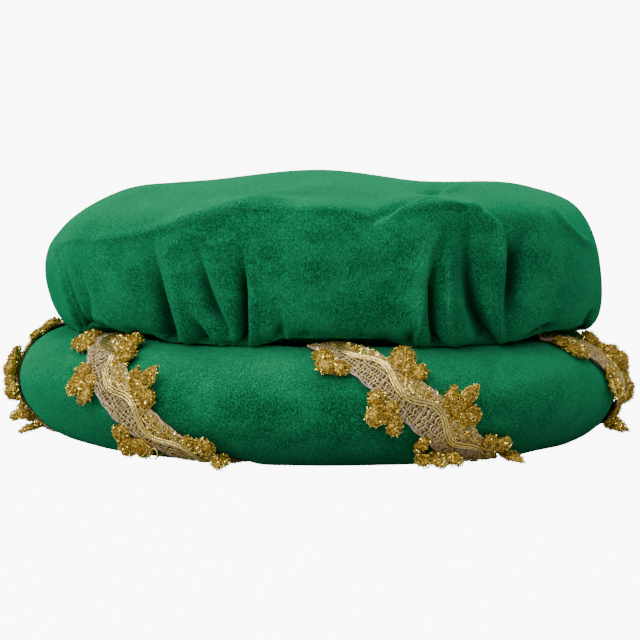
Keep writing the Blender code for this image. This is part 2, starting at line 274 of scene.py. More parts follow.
class GrowthTree:
    """A Geometry Nodes tree with named inputs, which grows something on a piece."""

    def __init__(self, name: str) -> None:
        """Starts an empty tree of that name."""
        self.tree = bpy.data.node_groups.new(name, "GeometryNodeTree")
        self.tree.interface.new_socket("Geometry", in_out="INPUT", socket_type="NodeSocketGeometry")
        self.tree.interface.new_socket("Geometry", in_out="OUTPUT", socket_type="NodeSocketGeometry")
        self.inputs = self.tree.nodes.new("NodeGroupInput")
        self.outputs = self.tree.nodes.new("NodeGroupOutput")

    def takes(self, name: str, kind: str) -> None:
        """Adds a named input, of a kind such as Float, Int or Material."""
        self.tree.interface.new_socket(name, in_out="INPUT", socket_type=f"NodeSocket{kind}")

    def given(self, name: str) -> Socket:
        """The socket that holds the value of a named input."""
        return self.inputs.outputs[name]

    def node(self, kind: str, inputs: dict | None = None, **settings: object) -> bpy.types.Node:
        """Adds a node, whose inputs take sockets or values, and returns it."""
        return add_node(self.tree, kind, inputs, settings)

    def ends(
        self, geometry: Socket, material: Socket, round_: bool = True
    ) -> Socket:
        """Realizes the instances and sets the material.

        Args:
            geometry: what the tree made.
            material: the socket of its material.
            round_: whether it shades as round, and not as flat facets.

        Returns:
            The socket of the finished geometry.
        """
        real = self.node("GeometryNodeRealizeInstances", {"Geometry": geometry})
        smooth = self.node(
            "GeometryNodeSetShadeSmooth", {"Geometry": real.outputs[0], "Shade Smooth": round_}
        )
        dressed = self.node(
            "GeometryNodeSetMaterial", {"Geometry": smooth.outputs[0], "Material": material}
        )
        return dressed.outputs[0]

    def gives(self, geometry: Socket) -> None:
        """Names the socket whose geometry the tree gives."""
        self.tree.links.new(geometry, self.outputs.inputs["Geometry"])

    def grow(self, obj: Object, values: dict[str, object]) -> None:
        """Runs the tree on an object and keeps the result as its mesh.

        Args:
            obj: the object, whose mesh is replaced.
            values: the value of each named input.
        """
        modifier = obj.modifiers.new(self.tree.name, "NODES")
        modifier.node_group = self.tree
        for item in self.tree.interface.items_tree:
            if item.in_out == "INPUT" and item.name in values:
                modifier[item.identifier] = values[item.name]
        bake_modifiers(obj)


def thread_tree() -> GrowthTree:
    """The tree that turns lines into round threads."""
    tree = GrowthTree("threads")
    for name, kind in (("Radius", "Float"), ("Sides", "Int"), ("Material", "Material")):
        tree.takes(name, kind)
    line = tree.node("GeometryNodeMeshToCurve", {"Mesh": tree.given("Geometry")})
    section = tree.node(
        "GeometryNodeCurvePrimitiveCircle",
        {"Resolution": tree.given("Sides"), "Radius": tree.given("Radius")},
    )
    tube = tree.node(
        "GeometryNodeCurveToMesh",
        {"Curve": line.outputs[0], "Profile Curve": section.outputs[0], "Fill Caps": True},
    )
    tree.gives(tree.ends(tube.outputs[0], tree.given("Material")))
    return tree


def curl_tree() -> GrowthTree:
    """The tree that covers a surface with small curls of metallic thread."""
    tree = GrowthTree("curls")
    for name, kind in (
        ("Density", "Float"),
        ("Curl Radius", "Float"),
        ("Thread Radius", "Float"),
        ("Lean", "Float"),
        ("Seed", "Int"),
        ("Material", "Material"),
    ):
        tree.takes(name, kind)
    share = tree.node("GeometryNodeInputNamedAttribute", {"Name": "curl_share"}, data_type="FLOAT")
    density = tree.node(
        "ShaderNodeMath", {0: tree.given("Density"), 1: share.outputs[0]}, operation="MULTIPLY"
    )
    surface, seed, lean = (tree.given(name) for name in ("Geometry", "Seed", "Lean"))
    spots = tree.node(
        "GeometryNodeDistributePointsOnFaces",
        {"Mesh": surface, "Density": density.outputs[0], "Seed": seed},
    )
    angles = {"Start Angle": math.radians(-25), "Sweep Angle": math.radians(230)}
    curl = tree.node(
        "GeometryNodeCurveArc", {"Resolution": 5, "Radius": tree.given("Curl Radius"), **angles}
    )
    section = tree.node(
        "GeometryNodeCurvePrimitiveCircle", {"Resolution": 3, "Radius": tree.given("Thread Radius")}
    )
    wire = tree.node(
        "GeometryNodeCurveToMesh", {"Curve": curl.outputs[0], "Profile Curve": section.outputs[0]}
    )
    upright = tree.node(
        "GeometryNodeTransform", {"Geometry": wire.outputs[0], "Rotation": (math.pi / 2, 0.0, 0.0)}
    )
    back = tree.node("ShaderNodeMath", {0: lean, 1: -1.0}, operation="MULTIPLY")
    most = tree.node("ShaderNodeCombineXYZ", {0: lean, 1: lean, 2: math.pi})
    least = tree.node("ShaderNodeCombineXYZ", {0: back.outputs[0], 1: back.outputs[0], 2: -math.pi})
    turn = tree.node(
        "FunctionNodeRandomValue",
        {0: least.outputs[0], 1: most.outputs[0], "Seed": seed},
        data_type="FLOAT_VECTOR",
    )
    turned = tree.node(
        "FunctionNodeRotateRotation",
        {"Rotation": spots.outputs["Rotation"], "Rotate By": turn.outputs[0]},
        rotation_space="LOCAL",
    )
    size = tree.node("FunctionNodeRandomValue", {2: 0.65, 3: 1.25, "Seed": seed}, data_type="FLOAT")
    curls = tree.node(
        "GeometryNodeInstanceOnPoints",
        {
            "Points": spots.outputs["Points"],
            "Instance": upright.outputs[0],
            "Rotation": turned.outputs[0],
            "Scale": size.outputs[1],
        },
    )
    dressed = tree.ends(curls.outputs[0], tree.given("Material"), round_=False)
    both = tree.node("GeometryNodeJoinGeometry")
    for part in (surface, dressed):
        tree.tree.links.new(part, both.inputs[0])
    tree.gives(both.outputs[0])
    return tree


# Finishes


class Shader:
    """A material that is being made from nodes."""

    def __init__(self, name: str) -> None:
        """Starts a material of that name with one Principled BSDF."""
        self.material = bpy.data.materials.new(name)
        self.material.use_nodes = True
        self.tree = self.material.node_tree
        self.surface = self.tree.nodes["Principled BSDF"]

    def node(self, kind: str, inputs: dict | None = None, **settings: object) -> bpy.types.Node:
        """Adds a node, whose inputs take sockets or values, and returns it."""
        return add_node(self.tree, kind, inputs, settings)

    def set(self, **values: object) -> None:
        """Sets the surface's inputs, whose names are written with _ for each space."""
        for name, value in values.items():
            feed(self.tree, self.surface.inputs[name.replace("_", " ")], value)

    def noise(self, size: float, stretch: Color = (1.0, 1.0, 1.0), detail: float = 2.0) -> Socket:
        """Noise in the object's own coordinates.

        Args:
            size: how large its patches are, in metres.
            stretch: how many times longer they are along X, Y and Z.
            detail: how much finer noise is added.

        Returns:
            The socket of its value, from 0 to 1.
        """
        place = self.node("ShaderNodeTexCoord")
        scale = tuple(1.0 / (size * s) for s in stretch)
        mapping = self.node("ShaderNodeMapping", {"Vector": place.outputs["Object"], "Scale": scale})
        made = self.node(
            "ShaderNodeTexNoise",
            {"Vector": mapping.outputs[0], "Scale": 1.0, "Detail": detail, "Roughness": 0.6},
        )
        return made.outputs["Fac"]

    def ramp(self, value: Socket, stops: list[tuple[float, Color]]) -> Socket:
        """A colour for each value, between the colours of the stops."""
        made = self.node("ShaderNodeValToRGB", {"Fac": value})
        ramp = made.color_ramp
        while len(ramp.elements) < len(stops):
            ramp.elements.new(0.5)
        for element, (place, color) in zip(ramp.elements, stops):
            element.position = place
            element.color = (*color, 1.0)
        return made.outputs["Color"]

    def mix(self, share: Socket | float, a: object, b: object) -> Socket:
        """Mixes colour b over colour a by that share."""
        a, b = (c if isinstance(c, Socket) else (*c, 1.0) for c in (a, b))
        return self.node("ShaderNodeMix", {0: share, 6: a, 7: b}, data_type="RGBA").outputs[2]


@dataclass(frozen=True)
class VelvetFinish:
    """Velvet with a short pile, with painted light in its colour: painted shade in its folds, darker seen
    straight on, and paler where it turns away, as a painted sheen.

    Where a piece carries its attribute of painted shade, the colour is darker by its value, from 0 to 1.
    Where it carries its attribute of painted highlight, the colour is paler by its value.
    """

    name: str
    deep: Color = (0.0016, 0.044, 0.0145)
    body: Color = (0.0056, 0.114, 0.0415)
    tips: Color = (0.0200, 0.258, 0.1050)
    # Colours of the painted sheen towards the outline, and of the painted shade
    painted_sheen_deep: Color = (0.0080, 0.134, 0.0520)
    painted_sheen_tips: Color = (0.0340, 0.320, 0.1430)
    painted_shade: Color = (0.0004, 0.012, 0.0040)
    pile: float = 0.00046
    nap: float = 0.022
    nap_share: float = 0.30
    painted_sheen_power: float = 1.5
    sheen: float = 0.15
    relief: float = 0.00045

    def material(self) -> Material:
        """Makes the material."""
        shader = Shader(self.name)
        pile = shader.noise(self.pile, (1.0, 1.0, 1.6), 1.0)
        nap = shader.noise(self.nap, (1.0, 1.0, 0.7), 4.0)
        strands = shader.ramp(pile, [(0.36, self.deep), (0.50, self.body), (0.66, self.tips)])
        brushed = shader.ramp(nap, [(0.38, self.deep), (0.50, self.body), (0.62, self.tips)])
        cloth = shader.mix(self.nap_share, strands, brushed)
        # Painted sheen: the colour grows paler as the surface turns away from the eye
        painted_sheen_strands = shader.ramp(pile, [(0.32, self.painted_sheen_deep), (0.68, self.painted_sheen_tips)])
        turned = shader.node("ShaderNodeLayerWeight", {"Blend": 0.45})
        grazing = shader.node(
            "ShaderNodeMath", {0: turned.outputs["Facing"], 1: self.painted_sheen_power}, operation="POWER"
        )
        # Painted highlight from the piece's attribute, used where it is paler than the painted sheen
        painted_highlight = shader.node("ShaderNodeAttribute", attribute_name="painted_highlight")
        pale = shader.node(
            "ShaderNodeMath", {0: grazing.outputs[0], 1: painted_highlight.outputs["Fac"]}, operation="MAXIMUM"
        )
        lit = shader.mix(pale.outputs[0], cloth, painted_sheen_strands)
        # Painted shade from the piece's attribute, towards a near-black green
        depth = shader.node("ShaderNodeAttribute", attribute_name="painted_shade")
        color = shader.mix(depth.outputs["Fac"], lit, self.painted_shade)
        relief = shader.node(
            "ShaderNodeBump", {"Height": pile, "Strength": 0.6, "Distance": self.relief}
        )
        shader.set(
            Base_Color=color,
            Roughness=0.9,
            Specular_IOR_Level=0.0,
            Sheen_Weight=self.sheen,
            Sheen_Roughness=0.45,
            Sheen_Tint=(0.04, 1.0, 0.40, 1.0),
            Normal=relief.outputs[0],
        )
        return shader.material


@dataclass(frozen=True)
class MetalThreadFinish:
    """Metallic thread, whose colour changes a little from place to place."""

    name: str
    deep: Color
    bright: Color
    roughness: float
    metallic: float = 1.0
    patch: float = 0.0009

    def material(self) -> Material:
        """Makes the material."""
        shader = Shader(self.name)
        patch = shader.noise(self.patch, detail=2.0)
        color = shader.ramp(patch, [(0.42, self.deep), (0.60, self.bright)])
        twist = shader.noise(self.patch / 4, detail=1.0)
        relief = shader.node("ShaderNodeBump", {"Height": twist, "Strength": 0.4, "Distance": 0.0001})
        shader.set(
            Base_Color=color,
            Roughness=self.roughness,
            Metallic=self.metallic,
            Normal=relief.outputs[0],
        )
        return shader.material


@dataclass(frozen=True)
class PlainFinish:
    """A plain matt finish with a little unevenness."""

    name: str
    color: Color
    roughness: float = 0.9
    patch: float = 0.002

    def material(self) -> Material:
        """Makes the material."""
        shader = Shader(self.name)
        darker = tuple(0.6 * c for c in self.color)
        color = shader.ramp(shader.noise(self.patch), [(0.3, darker), (0.6, self.color)])
        shader.set(Base_Color=color, Roughness=self.roughness, Specular_IOR_Level=0.2)
        return shader.material


class Finishes:
    """Every material of the hat."""

    def __init__(self) -> None:
        """Makes the materials: for metallic thread, from its dark to its bright colour."""
        metal = MetalThreadFinish
        self.roll = VelvetFinish("roll_velvet").material()
        self.crown = VelvetFinish("crown_velvet").material()
        self.gimp = metal("pale_gold_gimp", (0.80, 0.56, 0.13), (1.0, 0.86, 0.36), 0.25, 0.90).material()
        self.gold = metal("gold_thread", (0.88, 0.60, 0.055), (1.0, 0.92, 0.31), 0.22, 0.92).material()
        self.pale = metal("pale_gold_thread", (0.70, 0.50, 0.14), (1.0, 0.86, 0.40), 0.34, 0.8).material()
        self.rose = metal("rose_grey_thread", (0.34, 0.23, 0.17), (0.78, 0.62, 0.46), 0.42, 0.4).material()
        self.ground = PlainFinish("braid_ground", (0.200, 0.125, 0.045)).material()
        # Petal filling: partly its own dark gold and partly painted shade between the curls that lie on it
        self.pad = metal("petal_filling_and_shade", (0.13, 0.068, 0.005), (0.60, 0.380, 0.040), 0.42, 0.6).material()


# The photograph's view


@dataclass(frozen=True)
class PhotoView:
    """Where the photograph was taken from, fitted to the roll's outline in its 640 by 640 frame."""

    distance: float = 0.6955
    elevation: float = 6.5
    aim_up: float = 2.333
    roll: float = 0.56
    target_height: float = 0.0245
    lens: float = 73.1
    sensor: float = 36.0
    frame_px: float = 640.0
    target_px: tuple[float, float] = (319.7, 373.0)

    @property
    def back(self) -> Array:
        """The direction from the hat to the camera."""
        tilt = math.radians(self.elevation)
        return np.array([0.0, -math.cos(tilt), math.sin(tilt)])

    @property
    def eye(self) -> Array:
        """Where the camera stands."""
        return np.array([0.0, 0.0, self.target_height]) + self.back * self.distance

    def pixels(self, points: Array) -> Array:
        """Where points appear in the photograph.

        Args:
            points: points in metres, x, y and z along the last axis.

        Returns:
            Pixel x and y along the last axis.
        """
        up = np.array([0.0, self.back[2], -self.back[1]])
        apart = points - np.array([0.0, 0.0, self.target_height])
        depth = self.distance - apart @ self.back
        scale = self.lens / self.sensor * self.frame_px / depth
        right, rise = points[..., 0] * scale, (apart @ up) * scale
        turn = math.radians(self.roll)
        x = self.target_px[0] + right * math.cos(turn) + rise * math.sin(turn)
        y = self.target_px[1] - rise * math.cos(turn) + right * math.sin(turn)
        return np.stack([x, y], axis=-1)

    def camera(self) -> Object:
        """Makes the camera."""
        data = bpy.data.cameras.new("camera")
        data.lens = self.lens
        data.sensor_width = self.sensor
        data.clip_start, data.clip_end = 0.01, 50.0
        camera = bpy.data.objects.new("camera", data)
        bpy.context.scene.collection.objects.link(camera)
        pitch = math.radians(90.0 - self.elevation + self.aim_up)
        turned = Matrix.Rotation(pitch, 4, "X") @ Matrix.Rotation(math.radians(self.roll), 4, "Z")
        camera.matrix_world = Matrix.Translation(Vector(self.eye)) @ turned
        return camera


# Forms that the pieces share


@dataclass(frozen=True)
class RollForm:
    """The stuffed ring: its section is an ellipse, pressed flat underneath."""

    opening_radius: float = 0.0935
    width: float = 0.063
    height: float = 0.052
    pressed: float = 0.0015

    @property
    def ring_radius(self) -> float:
        """Distance from the hat's middle to the middle of the section."""
        return self.opening_radius + self.width / 2

    @property
    def ring_height(self) -> float:
        """Height of the middle of the section."""
        return self.height / 2 - self.pressed

    @property
    def crest_height(self) -> float:
        """Height of the roll's crest."""
        return self.ring_height + self.height / 2

    def at(self, direction: Array, section: Array, offset: Array = 0.0) -> tuple[Array, Array]:
        """Points on the unpressed surface.

        Args:
            direction: directions in degrees.
            section: section angles in degrees.
            offset: metres out from the surface.

        Returns:
            The points and the outward normals.
        """
        a, b = self.width / 2, self.height / 2
        angle = np.radians(section)
        c, s = np.cos(angle), np.sin(angle)
        length = np.hypot(c / a, s / b)
        nr, nz = c / a / length, s / b / length
        radius = self.ring_radius + a * c + offset * nr
        height = self.ring_height + b * s + offset * nz
        return around(direction, radius, height), around(direction, nr, nz)

    def steps(self, section: Array) -> tuple[Array, Array]:
        """Metres for each degree of direction and for each degree of section angle."""
        a, b = self.width / 2, self.height / 2
        angle = np.radians(section)
        ring = np.radians(self.ring_radius + a * np.cos(angle))
        return ring, np.radians(np.hypot(a * np.sin(angle), b * np.cos(angle)))


@dataclass(frozen=True)
class BraidForm:
    """Sizes and route of the braid that is wound round the roll."""

    roll: RollForm = RollForm()
    directions: tuple[float, ...] = (-83.0, -32.1, 17.0, 71.0, 122.5, 174.0, 225.5)
    lean: tuple[tuple[float, float], ...] = ((-215.0, 0.565), (-90.0, 0.330), (0.0, 0.0), (87.0, -0.315))
    width: float = 0.018
    thickness: float = 0.0016
    gap: float = 0.0006

    @property
    def pitch(self) -> float:
        """Degrees of direction from one wrap to the next."""
        return 360.0 / len(self.directions)

    def middle(self, wrap: int, section: Array) -> Array:
        """Direction of the middle of a wrap at section angles."""
        knots, shares = np.array(self.lean).T
        return self.directions[wrap] + smooth_through(knots, shares * self.pitch, section)

    def slant(self, wrap: int, section: Array) -> tuple[Array, Array]:
        """Unit steps along a wrap, as metres along the ring and metres along the section."""
        step = 0.5
        lean = self.middle(wrap, section + step) - self.middle(wrap, section - step)
        ring, rise = self.roll.steps(section)
        along = lean / (2 * step) * ring
        length = np.hypot(along, rise)
        return along / length, rise / length

    def place(self, wrap: int, section: Array, across: Array) -> tuple[Array, Array]:
        """Direction and section angle of places across metres uphill of a wrap's middle."""
        ring, rise = self.roll.steps(section)
        along_ring, along_section = self.slant(wrap, section)
        direction = self.middle(wrap, section) + across * along_section / ring
        return direction, section - across * along_ring / rise

    def route(self, wrap: int) -> tuple[Array, Array]:
        """Lengths along a wrap, from its end inside the hat, and the section angles there."""
        sections = np.linspace(self.lean[0][0], self.lean[-1][0], 600)
        points = self.roll.at(self.middle(wrap, sections), sections)[0]
        steps = np.linalg.norm(np.diff(points, axis=0), axis=1)
        return np.concatenate([[0.0], np.cumsum(steps)]), sections

    def on(self, wrap: int, section: Array, across: Array, height: Array) -> Array:
        """Points on a wrap, raised where the braid would meet the ground.

        Args:
            wrap: the wrap's number.
            section: section angles of the band's middle.
            across: metres to the uphill side of the middle.
            height: metres over the band's inner face.

        Returns:
            The points.
        """
        place = self.place(wrap, section, across)
        points = self.roll.at(*place, self.gap + height)[0]
        lowest = self.roll.at(*place, self.gap + self.thickness)[0][..., 2]
        points[..., 2] += np.maximum(0.0, GROUND - lowest)
        points[..., 2] = np.maximum(points[..., 2], GROUND)
        return points

    def across(self, direction: Array, section: Array) -> Array:
        """Distance in metres from places on the roll to the middle of the nearest wrap."""
        ring = self.roll.steps(section)[0]
        inside = (section - self.lean[0][0]) % 360.0 + self.lean[0][0]
        nearest = np.full(np.shape(direction), 1.0)
        for wrap in range(len(self.directions)):
            turn = turn_between(direction, self.middle(wrap, inside))
            apart = np.abs(turn) * ring * self.slant(wrap, inside)[1]
            beyond = np.maximum(0.0, inside - self.lean[-1][0]) * self.roll.steps(section)[1]
            nearest = np.minimum(nearest, np.hypot(apart, beyond))
        return nearest


# Roll brim


@dataclass
class RollBrim:
    """The stuffed roll: a velvet tube that its filling pushes out, pinned at its seam."""

    form: RollForm
    braid: BraidForm
    finishes: Finishes
    steps_round: int = 216
    steps_section: int = 52
    smaller: float = 0.0004
    most_out: float = 0.0007
    most_in: float = 0.0002
    uneven: float = 0.0003
    pressure: float = 4.0
    frames: int = 20
    seam_width: float = 24.0
    dent: float = 0.0004
    swell: float = 0.35
    swell_width: float = 0.008
    groove: float = 0.0024
    foot: float = 0.0017
    foot_section: float = -64.0
    foot_width: float = 36.0
    # Strengths of the painted highlight on top, the painted sheen on the sides and the painted shade
    # underneath
    painted_top_highlight: float = 0.62
    painted_side_sheen: float = 0.66
    painted_underside_shade: float = 0.34

    def build(self) -> Object:
        """Makes, fills and dresses the roll."""
        obj = self.skin()
        self.fill(obj)
        self.settle(obj)
        fine = obj.modifiers.new("fine", "SUBSURF")
        fine.levels = fine.render_levels = 1
        bake_modifiers(obj)
        self.flatten(obj)
        self.paint_light_and_shade(obj)
        obj.data.materials.clear()
        obj.data.materials.append(self.finishes.roll)
        obj.data.shade_smooth()
        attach(obj, BODY)
        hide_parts("roll")
        return obj

    def grid(self) -> tuple[Array, Array]:
        """Direction and section angle of each point of the skin."""
        directions = np.arange(self.steps_round) * 360.0 / self.steps_round
        sections = -180.0 + np.arange(self.steps_section) * 360.0 / self.steps_section
        return np.meshgrid(directions, sections, indexing="ij")

    def skin(self) -> Object:
        """Makes the skin a little smaller than the filled roll, and uneven as filling is."""
        directions, sections = self.grid()
        random = np.random.default_rng(4)
        lumps = sum(
            np.sin(np.radians(directions * n + sections * m + random.uniform(0, 360)))
            for n, m in ((3, 1), (5, -1), (8, 2), (11, -2), (17, 1), (23, 3))
        )
        offset = -self.smaller + self.uneven * lumps / 2.5
        points = self.form.at(directions, sections, offset)[0].reshape(-1, 3)
        numbers = np.arange(len(points)).reshape(directions.shape)
        corners = [np.roll(numbers, shift, axis=(0, 1)) for shift in ((0, 0), (-1, 0), (-1, -1), (0, -1))]
        faces = np.stack(corners, axis=-1).reshape(-1, 4).tolist()
        return new_object("roll_brim", points, faces)

    def fill(self, obj: Object) -> None:
        """Lets the filling push the skin out with Blender's cloth, while its seam stays in place."""
        seam = obj.vertex_groups.new(name="seam")
        sections = self.grid()[1].reshape(-1)
        held = np.flatnonzero(np.abs(turn_between(sections, 180.0)) < self.seam_width)
        seam.add(held.tolist(), 1.0, "REPLACE")
        cloth = obj.modifiers.new("filling", "CLOTH")
        settings = cloth.settings
        settings.quality = 4
        settings.mass = 0.25
        settings.tension_stiffness = settings.compression_stiffness = 12.0
        settings.bending_stiffness = 0.4
        settings.use_pressure = True
        settings.uniform_pressure_force = self.pressure
        settings.effector_weights.gravity = 0.0
        settings.vertex_group_mass = "seam"
        cloth.point_cache.frame_start = 1
        cloth.point_cache.frame_end = self.frames
        start = points_of(obj.data)
        for number in range(1, self.frames + 1):
            bpy.context.scene.frame_set(number)
        moved = points_of(evaluated_mesh(obj)) - start
        bpy.context.scene.frame_set(1)
        obj.modifiers.clear()
        directions, sections = self.grid()
        normals = self.form.at(directions, sections)[1].reshape(-1, 3)
        out = np.clip((moved * normals).sum(axis=1), -self.most_in, self.most_out)
        move_points(obj, start + normals * out[:, None])

    def settle(self, obj: Object) -> None:
        """Presses the roll in under the braid, and lets it swell beside it and sag at its foot."""
        directions, sections = self.grid()
        points = points_of(obj.data)
        normals = self.form.at(directions, sections)[1].reshape(-1, 3)
        apart = self.braid.across(directions, sections).reshape(-1)
        half = self.braid.width / 2
        under = 1.0 - ease(apart, half - 0.002, half + 0.004)
        beside = bump(apart - half - 0.001 - self.swell_width, self.swell_width)
        free = ease(apart, half + 0.001, half + 0.009)
        sagging = bump(turn_between(sections, self.foot_section), self.foot_width).reshape(-1) * free
        offset = -self.dent * under + self.swell * self.dent * beside + self.foot * sagging
        move_points(obj, points + normals * offset[:, None])

    def flatten(self, obj: Object) -> None:
        """Rests the underside on the ground, and lets it rise over the braid's lowest stretches."""
        points = points_of(obj.data)
        radius = np.hypot(points[:, 0], points[:, 1])
        direction = directions_of(points)
        section = np.degrees(
            np.arctan2(
                (points[:, 2] - self.form.ring_height) / self.form.height,
                (radius - self.form.ring_radius) / self.form.width,
            )
        )
        apart = self.braid.across(direction, section)
        half = self.braid.width / 2
        floor = self.groove * (1.0 - ease(apart, half + 0.0005, half + 0.004))
        points[:, 2] = np.maximum(points[:, 2], floor)
        move_points(obj, points)

    def paint_light_and_shade(self, obj: Object) -> None:
        """Paints a highlight where the roll faces up, a painted sheen where it faces aside, and painted
        shade where it faces down.
        """
        points = points_of(obj.data)
        up = np.array([v.normal[2] for v in obj.data.vertices])
        direction = directions_of(points)
        # Painted highlight where the roll faces up and painted sheen on its sides; painted shade where it
        # faces down
        low = 0.10 * waves(direction, 31, 3, 9, 4)
        top = ease(up + low, 0.10, 1.0) * (self.painted_top_highlight + 0.16 * waves(direction, 32, 5, 14, 4))
        aside = np.abs(np.sin(np.radians(direction)))
        sides = self.painted_side_sheen * ease(aside, 0.70, 1.0) * ease(up + low, -0.75, 0.2)
        painted_highlight = np.maximum(top, sides)
        shade = self.painted_underside_shade * ease(-up, 0.0, 0.75) * (1.0 - 0.7 * aside)
        for name, value in (("painted_highlight", painted_highlight), ("painted_shade", shade)):
            set_attribute(obj, name, np.clip(value, 0.0, 1.0))


# Crown


@dataclass(frozen=True)
class PhotoFold:
    """A fold of the crown where the photograph shows it.

    The route holds pixels from top to bottom or from left to right, each with the fold's depth
    there in millimetres: more than 0 goes in, and less than 0 stands out. before is the fold's
    width in pixels to the left of a route that runs down, or below one that runs across, and after
    is its width on the other side.
    """

    before: float
    after: float
    route: tuple[tuple[float, float, float], ...]

    def depth(self, pixels: Array) -> Array:
        """Depth of the fold in millimetres at pixels, which have x and y along the last axis."""
        nearest = np.full(pixels.shape[:-1], 1e9)
        depth = np.zeros(pixels.shape[:-1])
        for start, end in zip(self.route, self.route[1:]):
            a, b = np.array(start[:2]), np.array(end[:2])
            length = np.linalg.norm(b - a)
            along = (b - a) / length
            t = np.clip((pixels - a) @ along / length, 0.0, 1.0)
            apart = pixels - (a + t[..., None] * (b - a))
            distance = np.linalg.norm(apart, axis=-1)
            after = apart @ np.array([along[1], -along[0]]) > 0
            shape = np.exp(-((distance / np.where(after, self.after, self.before)) ** 2))
            closer = distance < nearest
            nearest = np.where(closer, distance, nearest)
            depth = np.where(closer, shape * (start[2] + (end[2] - start[2]) * t), depth)
        return depth


